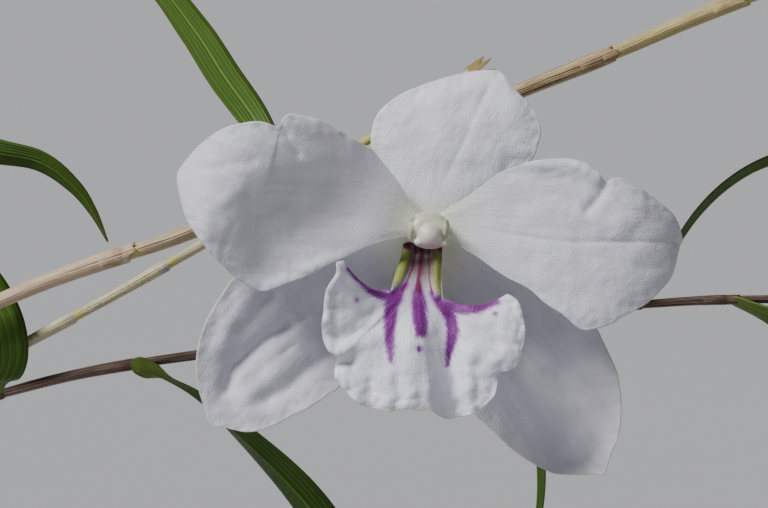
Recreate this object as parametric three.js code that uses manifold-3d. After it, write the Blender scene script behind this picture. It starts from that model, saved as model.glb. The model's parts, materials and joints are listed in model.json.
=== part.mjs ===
// A potted orchid of the slender, reed-like kind: a clump of thin jointed canes in a plain clay
// pot, narrow leaves in two ranks, and one open white flower with a fan-shaped lip.
// Millimetres, +Z up. The origin is the centre of the pot's foot, on the surface it stands on.
// The flower faces -Y.
import * as THREE from "three";
import { mergeVertices } from "three/addons/utils/BufferGeometryUtils.js";
import Module from "manifold-3d";

const wasm = await Module();
wasm.setup();

// Driving dimensions
const pot = {
  height: 92,
  footRadius: 37,
  shoulderRadius: 49.5,
  shoulderHeight: 66,
  rimRadius: 54,
  wall: 4.5,
  floor: 6,
  lip: 1.2,
  sides: 48,
  drainHoles: 3,
  drainRadius: 4.5,
  drainRing: 20,
};
const mix = { top: 82, relief: 2.6, gap: 0.45, rings: 8, sectors: 34 };
const clump = { spacing: 6.5, goldenAngle: 137.5, rootedAt: 70, straightTo: [88, 97], holeGap: 0.5 };
const caneShape = {
  sides: 6,
  footRadius: 2.3,
  footLength: 34,
  sheathFlare: 1.16,
  sheathWaist: 0.9,
  step: 0.7,
};
const blade = { thickness: 1.2, fold: 0.16, rootDepth: 0.4 };
const petalThickness = 0.7;
const flowerAt = new THREE.Vector3(175, -20, 275);
const flowerTiltUp = 6; // degrees above the horizon that the flower faces

const radians = THREE.MathUtils.degToRad;
const clay = new THREE.MeshStandardMaterial({ color: 0xb5673f, roughness: 0.9, metalness: 0 });
const bark = new THREE.MeshStandardMaterial({ color: 0x4a3020, roughness: 1, metalness: 0 });
const straw = new THREE.MeshStandardMaterial({ color: 0xb9a77c, roughness: 0.7, metalness: 0 });
const leafGreen = new THREE.MeshStandardMaterial({ color: 0x4c6b27, roughness: 0.5, metalness: 0 });
const white = new THREE.MeshStandardMaterial({ color: 0xe6e4ee, roughness: 0.55, metalness: 0 });
const lipWhite = new THREE.MeshStandardMaterial({ color: 0xe9e0f0, roughness: 0.5, metalness: 0 });
const cream = new THREE.MeshStandardMaterial({ color: 0xdfe3c4, roughness: 0.45, metalness: 0 });

// Solids and meshes

function solidFrom(points, faces) {
  const triVerts = new Uint32Array(faces);
  const build = () => {
    const vertProperties = new Float32Array(points.flatMap((p) => [p.x, p.y, p.z]));
    return new wasm.Manifold(new wasm.Mesh({ numProp: 3, vertProperties, triVerts }));
  };
  const made = build();
  if (made.volume() > 0) return made;
  for (let i = 0; i < triVerts.length; i += 3)
    [triVerts[i + 1], triVerts[i + 2]] = [triVerts[i + 2], triVerts[i + 1]];
  return build();
}

function solidFromGeometry(geometry) {
  const bare = geometry.index ? geometry.toNonIndexed() : geometry.clone();
  bare.deleteAttribute("normal");
  bare.deleteAttribute("uv");
  const merged = mergeVertices(bare, 1e-4);
  const at = merged.getAttribute("position");
  const points = [];
  for (let i = 0; i < at.count; i++) points.push(new THREE.Vector3().fromBufferAttribute(at, i));
  return solidFrom(points, Array.from(merged.index.array));
}

function geometryFrom(solid) {
  const mesh = solid.getMesh();
  const geometry = new THREE.BufferGeometry();
  geometry.setAttribute("position", new THREE.BufferAttribute(mesh.vertProperties, 3));
  geometry.setIndex(new THREE.BufferAttribute(mesh.triVerts, 1));
  geometry.computeVertexNormals();
  return geometry;
}

function named(name, solid, material) {
  const mesh = new THREE.Mesh(geometryFrom(solid), material);
  mesh.name = name;
  return mesh;
}

// A closed solid through rings of points, one ring at each station, with flat ends.
function loft(rings) {
  const sides = rings[0].length;
  const last = (rings.length - 1) * sides;
  const faces = [];
  for (let i = 0; i < last; i += sides)
    for (let j = 0; j < sides; j++) {
      const next = (j + 1) % sides;
      faces.push(i + j, i + next, i + sides + next, i + j, i + sides + next, i + sides + j);
    }
  for (let j = 1; j + 1 < sides; j++) faces.push(0, j + 1, j, last, last + j, last + j + 1);
  return solidFrom(rings.flat(), faces);
}

// A thin sheet of even thickness over a grid of points, both faces split into triangles alike.
function sheet(surface, across, along, thickness) {
  const rows = [];
  for (let i = 0; i <= along; i++) {
    const row = [];
    for (let j = 0; j <= across; j++) row.push(surface(j / across, i / along));
    rows.push(row);
  }
  const points = [];
  for (const side of [0.5, -0.5])
    for (let i = 0; i <= along; i++)
      for (let j = 0; j <= across; j++) {
        const ahead = rows[Math.min(i + 1, along)][j].clone().sub(rows[Math.max(i - 1, 0)][j]);
        const beside = rows[i][Math.min(j + 1, across)].clone().sub(rows[i][Math.max(j - 1, 0)]);
        const normal = beside.cross(ahead).normalize();
        points.push(rows[i][j].clone().addScaledVector(normal, side * thickness));
      }
  const wide = across + 1;
  const back = wide * (along + 1);
  const faces = [];
  const quad = (a, b, c, d) => faces.push(a, b, c, a, c, d);
  for (let i = 0; i < along; i++)
    for (let j = 0; j < across; j++) {
      const a = i * wide + j;
      quad(a, a + 1, a + wide + 1, a + wide);
      faces.push(back + a, back + a + wide + 1, back + a + 1);
      faces.push(back + a, back + a + wide, back + a + wide + 1);
    }
  const rim = [];
  for (let j = 0; j < across; j++) rim.push(j);
  for (let i = 0; i < along; i++) rim.push(i * wide + across);
  for (let j = across; j > 0; j--) rim.push(along * wide + j);
  for (let i = along; i > 0; i--) rim.push(i * wide);
  rim.forEach((a, k) => {
    const b = rim[(k + 1) % rim.length];
    quad(b, a, back + a, back + b);
  });
  return solidFrom(points, faces);
}

// Repeatable scatter between 0 and 1
function scatter(a, b) {
  const x = Math.sin(a * 12.9898 + b * 78.233) * 43758.5453;
  return x - Math.floor(x);
}

function curveThrough(points) {
  const vectors = points.map((p) => (Array.isArray(p) ? new THREE.Vector3(...p) : p));
  return new THREE.CatmullRomCurve3(vectors, false, "catmullrom", 0.5);
}

// A smooth value between 0 and 1 through evenly spaced heights
function valueThrough(heights) {
  const curve = curveThrough(heights.map((h) => [h, 0, 0]));
  return (t) => curve.getPoint(t).x;
}

// Pot

function potSolid() {
  const { height, footRadius, shoulderRadius, shoulderHeight, rimRadius, wall, floor, lip } = pot;
  const slope = (shoulderRadius - footRadius) / shoulderHeight;
  const outline = [
    [0, 0],
    [footRadius - lip, 0],
    [footRadius, lip],
    [shoulderRadius, shoulderHeight],
    [rimRadius - lip, shoulderHeight + lip],
    [rimRadius, shoulderHeight + 2 * lip],
    [rimRadius + 0.6, height - lip],
    [rimRadius - lip, height],
    [rimRadius - wall, height],
    [rimRadius - wall - lip, height - lip],
    [footRadius + slope * floor - wall, floor],
    [0, floor],
  ];
  const profile = outline.map(([r, z]) => new THREE.Vector2(r, z));
  let body = solidFromGeometry(new THREE.LatheGeometry(profile, pot.sides).rotateX(Math.PI / 2));
  for (let i = 0; i < pot.drainHoles; i++) {
    const turn = radians(30 + (360 / pot.drainHoles) * i);
    const hole = new THREE.CylinderGeometry(pot.drainRadius, pot.drainRadius, 3 * floor, 12);
    hole.rotateX(Math.PI / 2);
    hole.translate(pot.drainRing * Math.cos(turn), pot.drainRing * Math.sin(turn), 0);
    body = body.subtract(solidFromGeometry(hole));
  }
  return body;
}

function potInnerRadius(z) {
  const slope = (pot.shoulderRadius - pot.footRadius) / pot.shoulderHeight;
  const low = pot.footRadius + slope * pot.floor - pot.wall;
  const high = pot.rimRadius - pot.wall - pot.lip;
  return low + ((high - low) * (z - pot.floor)) / (pot.height - pot.lip - pot.floor);
}

// Potting mix: bark chunks as relief, highest round the clump

function mixHeight(x, y) {
  const across = Math.sin(x * 0.42 + 1.3 * Math.sin(y * 0.31));
  const lump = across * Math.cos(y * 0.47 - 0.9 * Math.sin(x * 0.27));
  const mound = 2.2 * Math.exp(-(x * x + y * y) / 900);
  return mix.top + mound + mix.relief * (lump - 0.4);
}

function mixSolid(stems) {
  const bottom = pot.floor + mix.gap;
  const points = [new THREE.Vector3(0, 0, mixHeight(0, 0))];
  const wall = potInnerRadius(mix.top - 4) - mix.gap;
  for (let i = 1; i <= mix.rings; i++)
    for (let j = 0; j < mix.sectors; j++) {
      const turn = (2 * Math.PI * (j + (i % 2) / 2)) / mix.sectors;
      const r = (wall * i) / mix.rings;
      const [x, y] = [r * Math.cos(turn), r * Math.sin(turn)];
      points.push(new THREE.Vector3(x, y, i === mix.rings ? mix.top - 4 : mixHeight(x, y)));
    }
  const low = potInnerRadius(bottom) - mix.gap;
  for (let j = 0; j < mix.sectors; j++) {
    const turn = (2 * Math.PI * (j + (mix.rings % 2) / 2)) / mix.sectors;
    points.push(new THREE.Vector3(low * Math.cos(turn), low * Math.sin(turn), bottom));
  }
  points.push(new THREE.Vector3(0, 0, bottom));
  const n = mix.sectors;
  const foot = points.length - 1;
  const faces = [];
  for (let j = 0; j < n; j++) {
    faces.push(0, 1 + j, 1 + ((j + 1) % n), foot, foot - n + ((j + 1) % n), foot - n + j);
    for (let i = 0; i < mix.rings; i++) {
      const [a, b] = [1 + i * n + j, 1 + i * n + ((j + 1) % n)];
      // Alternate rings are turned by half a sector, apart from the wall's last two.
      if (i === mix.rings - 1) faces.push(a, a + n, b + n, a, b + n, b);
      else if (i % 2 === 0) faces.push(a, a + n, b, b, a + n, b + n);
      else faces.push(a, a + n, b + n, a, b + n, b);
    }
  }
  let body = solidFrom(points, faces);
  for (const stem of stems) body = body.subtract(stem);
  return body;
}

// Flower, in its own frame: x to the right and y up as seen from the front, z towards the viewer

const flower = new THREE.Group();
flower.position.copy(flowerAt);
flower.rotation.x = radians(90 - flowerTiltUp);
flower.updateMatrixWorld(true);
const nearFlower = (x, y, z) => new THREE.Vector3(x, y, z).applyMatrix4(flower.matrixWorld);

// Both edges run from base to tip; depths are along the middle and the two edges.
const tepals = {
  dorsal_sepal: {
    left: [
      [-1.5, 3.1], [-2.9, 5.1], [-5.7, 8.8], [-6.7, 11.7], [-5.9, 14.2], [-3.4, 16.2], [1.4, 17.9],
      [5.0, 18.9], [7.9, 19.2],
    ],
    right: [
      [2.0, 2.8], [4.0, 3.9], [7.4, 5.4], [10.2, 6.6], [12.4, 8.3], [13.5, 11.9], [12.7, 14.7],
      [10.3, 16.8], [8.7, 19.0],
    ],
    depth: {
      middle: [-2.3, -2.3, -2.4, -2.8, -4.2],
      left: [-2.3, -2.8, -3.2, -3.6, -4.2],
      right: [-2.3, -2.8, -3.4, -3.8, -4.2],
    },
  },
  petal_left: {
    left: [
      [-2.6, -0.3], [-5.1, -0.9], [-9.8, -3.1], [-14.2, -4.8], [-18.6, -6.8], [-22.2, -5.8],
      [-26.5, -2.0], [-28.9, 2.5], [-29.7, 6.7],
    ],
    right: [
      [-2.4, 3.4], [-4.6, 7.7], [-8.4, 10.8], [-12.8, 12.8], [-16.2, 13.7], [-17.5, 12.5],
      [-20.4, 13.0], [-25.8, 11.2], [-29.5, 7.4],
    ],
    depth: {
      middle: [-1.0, 0.9, 2.9, 2.7, 0.2],
      left: [-1.0, 0.6, 2.0, 2.2, 0.2],
      right: [-1.0, 0.3, 1.5, 2.0, 0.2],
    },
  },
  petal_right: {
    left: [
      [2.3, 2.7], [5.0, 4.6], [8.4, 6.9], [12.2, 8.3], [17.4, 8.3], [20.9, 6.1], [23.4, 6.2],
      [28.2, 2.6], [30.0, -0.6],
    ],
    right: [
      [2.5, -0.5], [5.0, -2.0], [9.6, -5.2], [14.0, -8.4], [18.4, -11.3], [21.8, -10.9],
      [26.4, -8.2], [29.2, -4.2], [30.1, -1.3],
    ],
    depth: {
      middle: [-1.0, 0.9, 2.6, 2.2, -0.8],
      left: [-1.0, 0.2, 1.2, 1.4, -0.8],
      right: [-1.0, 0.9, 2.0, 1.6, -0.8],
    },
  },
  lateral_sepal_left: {
    left: [
      [-1.8, -4.8], [-3.1, -7.5], [-5.2, -11.8], [-9.6, -17.2], [-14.4, -20.7], [-19.4, -23.5],
      [-22.4, -23.4], [-25.2, -23.1],
    ],
    right: [
      [-2.8, -0.6], [-6.6, -1.4], [-14.2, -2.4], [-21.0, -4.2], [-25.6, -9.2], [-27.4, -14.6],
      [-26.9, -20.0], [-25.7, -22.8],
    ],
    depth: {
      middle: [-6.4, -5.0, -3.7, -2.9, -1.2],
      left: [-9.4, -5.4, -3.8, -2.8, -1.2],
      right: [-3.0, -2.8, -2.4, -2.0, -1.2],
    },
  },
  lateral_sepal_right: {
    left: [
      [2.7, -0.9], [5.0, -2.6], [11.2, -5.4], [17.0, -8.6], [21.0, -13.4], [22.8, -20.4],
      [22.4, -24.8], [21.4, -28.6],
    ],
    right: [
      [1.5, -5.0], [2.0, -8.4], [3.4, -15.4], [7.2, -23.1], [11.9, -27.2], [15.6, -28.9],
      [19.0, -28.9], [20.8, -29.0],
    ],
    depth: {
      middle: [-6.4, -5.4, -4.6, -3.8, -1.6],
      left: [-3.0, -2.9, -2.7, -2.3, -1.6],
      right: [-9.4, -5.8, -4.4, -3.4, -1.6],
    },
  },
};

function tepalSurface({ left, right, depth }) {
  const edges = [left, right].map((edge) => curveThrough(edge.map(([x, y]) => [x, y, 0])));
  const depths = [depth.left, depth.middle, depth.right].map(valueThrough);
  return (across, along) => {
    const [a, b] = edges.map((edge) => edge.getPointAt(along));
    const u = 2 * across - 1;
    const [zl, zm, zr] = depths.map((z) => z(along));
    const point = a.lerp(b, across);
    point.z = zm + (u * (zr - zl)) / 2 + u * u * ((zr + zl) / 2 - zm);
    return point;
  };
}

// The lip is a narrow channelled claw that opens into a broad waved fan. Its lines fan out from
// the claw's foot, across the throat, to the margin.
const lip = {
  clawMiddle: [[-0.3, -2.9, -8.0], [-0.4, -3.4, -5.2], [-0.8, -4.7, -1.8], [-1.3, -7.6, 1.7]],
  clawHalfWidth: [0.9, 1.6, 2.3, 2.85],
  clawRidge: [0.2, 1.0, 0.9, 0.2],
  throatDrop: -0.45,
  margin: [
    [-9.9, -3.2], [-10.9, -5.0], [-12.2, -9.0], [-12.3, -11.6], [-11.6, -14.0], [-10.6, -14.9],
    [-10.6, -16.5],
    [-8.4, -19.8], [-4.2, -20.8], [-2.8, -20.4], [-1.0, -20.8], [0.3, -20.5], [2.5, -21.7], [5.4, -20.9],
    [7.5, -19.3], [8.3, -16.5], [9.6, -16.2], [11.0, -13.4], [11.4, -10.6], [10.8, -8.4], [9.6, -7.0],
  ],
  marginDepth: [3.8, 4.6, 6.2, 7.2, 6.2, 6.8, 5.4, 3.4, 2.2],
  edgeSag: 1.1, // how far the fan's two upper edges bow downwards
  clawRows: 4,
  fanRows: 5,
  columns: 26,
};

function lipSurface() {
  const middle = curveThrough(lip.clawMiddle);
  const halfWidth = valueThrough(lip.clawHalfWidth);
  const ridge = valueThrough(lip.clawRidge);
  const margin = curveThrough(lip.margin.map(([x, y]) => [x, y, 0]));
  const marginDepth = valueThrough(lip.marginDepth);
  const claw = (across, t) => {
    const u = 2 * across - 1;
    const point = middle.getPoint(t);
    point.x += u * halfWidth(t);
    point.y += lip.throatDrop * u * t;
    point.z += ridge(t) * u * u * u * u;
    return point;
  };
  return (across, along) => {
    const throat = lip.clawRows / (lip.clawRows + lip.fanRows);
    if (along <= throat) return claw(across, along / throat);
    const t = (along - throat) / (1 - throat);
    const edge = margin.getPointAt(across);
    edge.z = marginDepth(across);
    const point = claw(across, 1).lerp(edge, t);
    const u = 2 * across - 1;
    point.y -= 4 * t * (1 - t) * lip.edgeSag * u * u * u * u;
    point.z += 1.0 * Math.sin(Math.PI * t) * (1 - u * u);
    return point;
  };
}

// Column with its foot and cap, and the ovary and stalk behind it
const column = {
  sides: 10,
  stalk: [
    // x, y, z, half-width, half-height
    [1.9, 12.4, -10.6, 0.55, 0.55],
    [1.5, 9.6, -9.8, 0.6, 0.6],
    [0.8, 6.4, -8.8, 0.75, 0.75],
    [0.2, 3.6, -7.2, 1.1, 1.1],
    [0.0, 1.4, -4.6, 1.3, 1.2],
    [0.0, 0.6, -2.2, 1.7, 1.5],
    [-0.1, 0.5, 0.6, 2.2, 1.9],
    [-0.1, 0.3, 3.2, 2.6, 2.1],
    [0.0, 0.0, 4.4, 2.3, 1.8],
    [0.1, -0.4, 5.3, 1.3, 1.1],
  ],
  foot: [
    [0, 0.3, -2.4, 1.3, 0.7],
    [-0.1, -0.3, -4.6, 1.2, 0.6],
    [-0.2, -1.2, -7.4, 1.1, 0.6],
    [-0.3, -2.2, -9.8, 0.9, 0.6],
  ],
};

function ovalLoft(stations, sides) {
  const middle = curveThrough(stations.map(([x, y, z]) => [x, y, z]));
  return loft(
    stations.map(([x, y, z, wide, high], i) => {
      const tangent = middle.getTangent(i / (stations.length - 1));
      const beside = new THREE.Vector3(1, 0, 0).addScaledVector(tangent, -tangent.x).normalize();
      const above = tangent.clone().cross(beside);
      return Array.from({ length: sides }, (_, k) => {
        const turn = (2 * Math.PI * k) / sides;
        return new THREE.Vector3(x, y, z)
          .addScaledVector(beside, wide * Math.cos(turn))
          .addScaledVector(above, high * Math.sin(turn));
      });
    }),
  );
}

const columnSolid = () => ovalLoft(column.stalk, column.sides).add(ovalLoft(column.foot, 8));

for (const [name, tepal] of Object.entries(tepals))
  flower.add(named(name, sheet(tepalSurface(tepal), 8, 12, petalThickness), white));
const lipSheet = sheet(lipSurface(), lip.columns, lip.clawRows + lip.fanRows, petalThickness);
flower.add(named("lip", lipSheet, lipWhite));
flower.add(named("column", columnSolid(), cream));

// Canes

const rootPoints = ({ x, y }) =>
  [clump.rootedAt, ...clump.straightTo].map((z) => new THREE.Vector3(x, y, z));

// A cane that grows up out of the pot and arches over towards its lean
function archedRoute({ lean, length, tipRise, curl = 0 }, foot) {
  const points = rootPoints(foot);
  const steps = 8;
  const at = points.at(-1).clone();
  const stride = (length - (at.z - clump.rootedAt)) / steps;
  for (let i = 0; i < steps; i++) {
    const t = (i + 0.5) / steps;
    const rise = radians(86 + (tipRise - 86) * t ** 1.3);
    const heading = radians(lean + curl * t);
    at.x += stride * Math.cos(rise) * Math.cos(heading);
    at.y += stride * Math.cos(rise) * Math.sin(heading);
    at.z += stride * Math.sin(rise);
    points.push(at.clone());
  }
  return curveThrough(points);
}

function clumpFoot(i) {
  const r = clump.spacing * Math.sqrt(i + 0.5);
  const turn = radians(i * clump.goldenAngle);
  return new THREE.Vector3(r * Math.cos(turn), r * Math.sin(turn), 0);
}

// Three canes cross behind the flower. They follow points of their own, and their leaves and
// joints are placed by the flower's frame; the rest of the clump is placed by rule.
const canes = [
  {
    name: "cane_bearing",
    rise: [[16, -3, 150], [42, -6, 206], [81, -7, 245]],
    seen: [
      [-51.5, -8.2, -12], [-28, 0.3, -12], [-8, 9.2, -12], [10.5, 16.8, -12],
      [21.4, 21.2, -12], [37.8, 28.1, -12], [55, 34, -13], [71, 37, -14],
    ],
    radius: 1.12,
    jointsSeen: [-56.5, -36.8, -15.5, 1.9, 21.5],
    leaves: { from: 0.9, to: 1 },
    handLeaves: [
      {
        at: -15.5,
        points: [
          [-18.4, 9.4, -15], [-21.4, 14.4, -18], [-24.9, 19.3, -20], [-28.6, 25, -22],
          [-33.6, 31, -24], [-40.6, 34.6, -27],
        ],
        halfWidth: 2.4,
        wideFrom: [0.9, 0.3, -0.2],
        wideTo: [0.7, 0.7, 0.1],
      },
    ],
  },
  {
    name: "cane_bare",
    rise: [[4, 4, 145], [33, 2, 199], [77, -3, 234]],
    seen: [
      [-52.4, -15.3, -17.4], [-27.3, -1.35, -17], [-7.7, 11, -17], [5.6, 19.6, -17],
    ],
    radius: 0.82,
    internode: 13.4,
    jointsSeen: [-43.2, -31.6, -19.6, -8.2],
    bracts: true,
  },
  {
    name: "cane_front_left",
    lean: 278,
    length: 215,
    tipRise: 34,
    curl: 16,
    leaves: { from: 0.42, to: 1 },
  },
  {
    name: "cane_low",
    rise: [[12, 9, 140], [38, 6, 190], [79, 4, 228]],
    seen: [
      [-53, -19.8, -22], [-36, -16.1, -22], [0.2, -11.6, -22], [27.5, -8.8, -22],
      [42.1, -8.2, -22], [60, -8.5, -23], [78, -11, -24], [93, -16, -25],
    ],
    radius: 0.9,
    jointsSeen: [-54, -36, -15, 6, 26.2, 37.6, 56, 74],
    handLeaves: [
      {
        at: -36,
        points: [
          [-28.5, -20.6, -23], [-22.2, -25.9, -25], [-16, -32.3, -27], [-11.6, -38.5, -29],
          [-9.2, -45, -31], [-8.4, -52, -32],
        ],
        halfWidth: 3,
        wideFrom: [0.12, 0.14, 0.98],
        wideTo: [0.85, 0.4, 0.1],
      },
      {
        at: -54,
        points: [
          [-53.4, -20.6, -19.3], [-52.9, -19.2, -16.4], [-52.8, -15.6, -15], [-53.6, -11.2, -15],
          [-56.4, -6.4, -15.4], [-61.2, -2, -16.6], [-67.5, 1.2, -19.5],
        ],
        halfWidth: 4.5,
        wideFrom: [0.98, 0.2, 0],
        wideTo: [0.45, 0.88, 0],
      },
      {
        at: 6,
        points: [
          [9.5, -14.5, -20.5], [12.6, -21, -19.8], [13.8, -28, -19.6], [13.6, -35, -20],
          [11.8, -43, -21],
        ],
        halfWidth: 2.2,
        wideFrom: [0.3, 0.1, 0.9],
        wideTo: [0.15, 0, 0.98],
      },
      {
        at: 26.2,
        points: [
          [29.6, -3.6, -21], [33.6, 2.2, -21], [37.9, 6.2, -21], [43, 8.8, -21.5],
          [49.6, 10.2, -22], [56, 9.8, -23], [61.2, 7.6, -24],
        ],
        halfWidth: 2.2,
        wideFrom: [-0.2, 0.1, 0.98],
        wideTo: [0.1, 0.5, 0.86],
      },
      {
        at: 37.6,
        points: [
          [43.6, -11, -21], [50.4, -14.9, -20], [57, -20, -20], [62, -26, -20], [65, -32, -20],
          [66.5, -38, -20],
        ],
        halfWidth: 3.2,
        wideFrom: [0.3, 0.4, 0.85],
        wideTo: [0.8, 0.6, 0.2],
      },
      {
        at: 74,
        points: [[82, -5, -20], [90, -2, -17], [99, -2, -15], [108, -5, -14], [114, -11, -14]],
        halfWidth: 3.2,
        wideFrom: [0.1, 0.4, 0.85],
        wideTo: [0.1, 0.5, 0.85],
      },
    ],
  },
  { name: "cane_left", lean: 192, length: 300, tipRise: 24, curl: 10, leaves: { from: 0.45, to: 1 } },
  {
    name: "shoot_right",
    lean: 350,
    length: 105,
    tipRise: 52,
    curl: 0,
    leaves: { from: 0.35, to: 1 },
    green: true,
  },
  { name: "cane_back", lean: 100, length: 310, tipRise: 38, curl: 12, leaves: { from: 0.5, to: 1 } },
  { name: "cane_front", lean: 236, length: 250, tipRise: 34, curl: -14, leaves: { from: 0.45, to: 1 } },
  {
    name: "cane_right",
    lean: 20,
    length: 285,
    tipRise: 50,
    curl: 30,
    leaves: { from: 0.72, to: 1 },
    handLeaves: [
      {
        at: -107.5,
        points: [
          [-98, 36, -60], [-84, 28, -58], [-70, 18, -54], [-58.5, 11.6, -50.5], [-50.5, 9.6, -50],
          [-46, 6.4, -50], [-43.4, 3, -50], [-41.4, -1, -50],
        ],
        halfWidth: 2.3,
        wideFrom: [0.3, 0.7, 0.6],
        wideTo: [0.8, 0.5, 0.2],
      },
    ],
  },
  {
    name: "cane_bare_left",
    lean: 158,
    length: 250,
    tipRise: 44,
    curl: -18,
    radius: 0.85,
    internode: 14,
    bracts: true,
  },
  {
    name: "shoot_front",
    lean: 284,
    length: 84,
    tipRise: 60,
    curl: 0,
    leaves: { from: 0.4, to: 1 },
    green: true,
  },
  { name: "cane_back_right", lean: 66, length: 275, tipRise: 34, curl: -8, leaves: { from: 0.5, to: 1 } },
  { name: "cane_far_left", lean: 214, length: 210, tipRise: 20, curl: -12, leaves: { from: 0.4, to: 1 } },
];

function routeOf(cane, index) {
  const foot = clumpFoot(index);
  if (!cane.seen) return archedRoute(cane, foot);
  return curveThrough([...rootPoints(foot), ...cane.rise, ...cane.seen.map((p) => nearFlower(...p))]);
}

// A ring of points round a curve, level with the ground where the curve is
function ringRound(route, distance, radius) {
  const t = Math.min(1, Math.max(0, distance / route.getLength()));
  const middle = route.getPointAt(t);
  const tangent = route.getTangentAt(t);
  const beside = new THREE.Vector3(0, 1, 0).addScaledVector(tangent, -tangent.y).normalize();
  const above = tangent.clone().cross(beside);
  return Array.from({ length: caneShape.sides }, (_, k) => {
    const turn = (2 * Math.PI * k) / caneShape.sides;
    return middle
      .clone()
      .addScaledVector(beside, radius * Math.cos(turn))
      .addScaledVector(above, radius * Math.sin(turn));
  });
}

// The distance along a cane at which it passes a height of x in the flower's frame
function distanceAt(route, x) {
  const steps = 600;
  const missBy = (i) => Math.abs(route.getPointAt(i / steps).x - flowerAt.x - x);
  let best = steps;
  for (let i = steps; i > 0; i--) if (missBy(i) < missBy(best)) best = i;
  return (best / steps) * route.getLength();
}

// Distances along a cane at which one sheath ends and the next begins
function jointsOf(route, internode, jointsSeen = []) {
  const fixed = [caneShape.footLength, ...jointsSeen.map((x) => distanceAt(route, x)), route.getLength()];
  const joints = [fixed[0]];
  for (let i = 1; i < fixed.length; i++) {
    const count = Math.max(1, Math.round((fixed[i] - fixed[i - 1]) / internode));
    for (let k = 1; k <= count; k++) joints.push(fixed[i - 1] + ((fixed[i] - fixed[i - 1]) * k) / count);
  }
  return joints;
}

// Sheaths widen to their mouths, and each mouth steps in to the foot of the next.
function caneSolid(route, radius, joints) {
  const length = route.getLength();
  const { footRadius, footLength, sheathFlare, sheathWaist, step } = caneShape;
  const rings = [ringRound(route, 0, footRadius * 0.8)];
  rings.push(ringRound(route, footLength * 0.3, footRadius));
  rings.push(ringRound(route, footLength - 2, radius * sheathFlare * 1.1));
  for (let i = 0; i + 1 < joints.length; i++) {
    const [at, top] = [joints[i], joints[i + 1]];
    const slim = 1 - 0.28 * (at / length);
    rings.push(ringRound(route, at, radius * sheathWaist * slim));
    rings.push(ringRound(route, (at + top) / 2, radius * slim));
    rings.push(ringRound(route, top - step, radius * sheathFlare * slim));
  }
  return loft(rings);
}

// A leaf blade along a curve. Its width runs along wide(t), with the two halves folded up.
function bladeSolid(route, wide, halfWidth) {
  const stations = [0, 0.1, 0.3, 0.6, 0.87, 1];
  const share = [0.2, 0.52, 0.95, 0.97, 0.52, 0.12];
  return loft(
    stations.map((t, i) => {
      const middle = route.getPointAt(t);
      const tangent = route.getTangentAt(t);
      const side = wide(t).clone();
      side.addScaledVector(tangent, -side.dot(tangent)).normalize();
      const up = side.clone().cross(tangent);
      const half = Math.max(halfWidth * share[i], 0.3);
      const thick = (blade.thickness / 2) * (i === stations.length - 1 ? 0.4 : 1);
      const lift = blade.fold * half;
      const at = (s, u) => middle.clone().addScaledVector(side, s).addScaledVector(up, u);
      return [at(0, thick), at(half, lift), at(0, -thick), at(-half, lift)];
    }),
  );
}

// A leaf by rule: it leaves the node at an angle to one side, then its weight bends it down.
function ruleLeaf(route, distance, index, number, fraction) {
  const t = distance / route.getLength();
  const middle = route.getPointAt(t);
  const tangent = route.getTangentAt(t);
  const level = new THREE.Vector3(-tangent.y, tangent.x, 0).normalize();
  const side = number % 2 ? 1 : -1;
  const spread = radians(38 + 16 * scatter(index, number));
  const heading = tangent
    .clone()
    .multiplyScalar(Math.cos(spread))
    .addScaledVector(level, side * Math.sin(spread));
  heading.z += 0.12;
  heading.normalize();
  const length = (56 + 18 * scatter(number, index + 3)) * (1 - 0.35 * fraction);
  const droop = 0.75 + 0.5 * scatter(index + 7, number);
  const points = [middle];
  const steps = 5;
  const at = middle.clone();
  for (let i = 0; i < steps; i++) {
    const bent = heading.clone();
    bent.z -= (droop * (i + 0.5)) / steps;
    at.addScaledVector(bent.normalize(), length / steps);
    points.push(at.clone());
  }
  const across = new THREE.Vector3(-heading.y, heading.x, 0).normalize();
  return bladeSolid(curveThrough(points), () => across, 2.9 + 0.9 * scatter(index, number + 5));
}

function handLeaf(route, { at, points, halfWidth, wideFrom, wideTo }) {
  const start = route.getPointAt(distanceAt(route, at) / route.getLength());
  const turned = (v) => new THREE.Vector3(...v).transformDirection(flower.matrixWorld);
  const [from, to] = [turned(wideFrom), turned(wideTo)];
  const path = curveThrough([start, ...points.map((p) => nearFlower(...p))]);
  return bladeSolid(path, (t) => from.clone().lerp(to, t).normalize(), halfWidth);
}

// Dried bracts at a bare cane's tip
function bractSolid(route, index) {
  const tip = route.getPointAt(1);
  const tangent = route.getTangentAt(1);
  const side = new THREE.Vector3(-tangent.y, tangent.x, 0.3).normalize();
  const solids = [-1, 1].map((turn) => {
    const bent = tangent.clone().addScaledVector(side, turn * 0.5).normalize();
    const start = tip.clone().addScaledVector(tangent, -3);
    const end = start.clone().addScaledVector(bent, 5.5 + scatter(index, turn + 2));
    return bladeSolid(curveThrough([start, start.clone().lerp(end, 0.5), end]), () => side, 1.1);
  });
  return solids[0].add(solids[1]);
}

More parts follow.
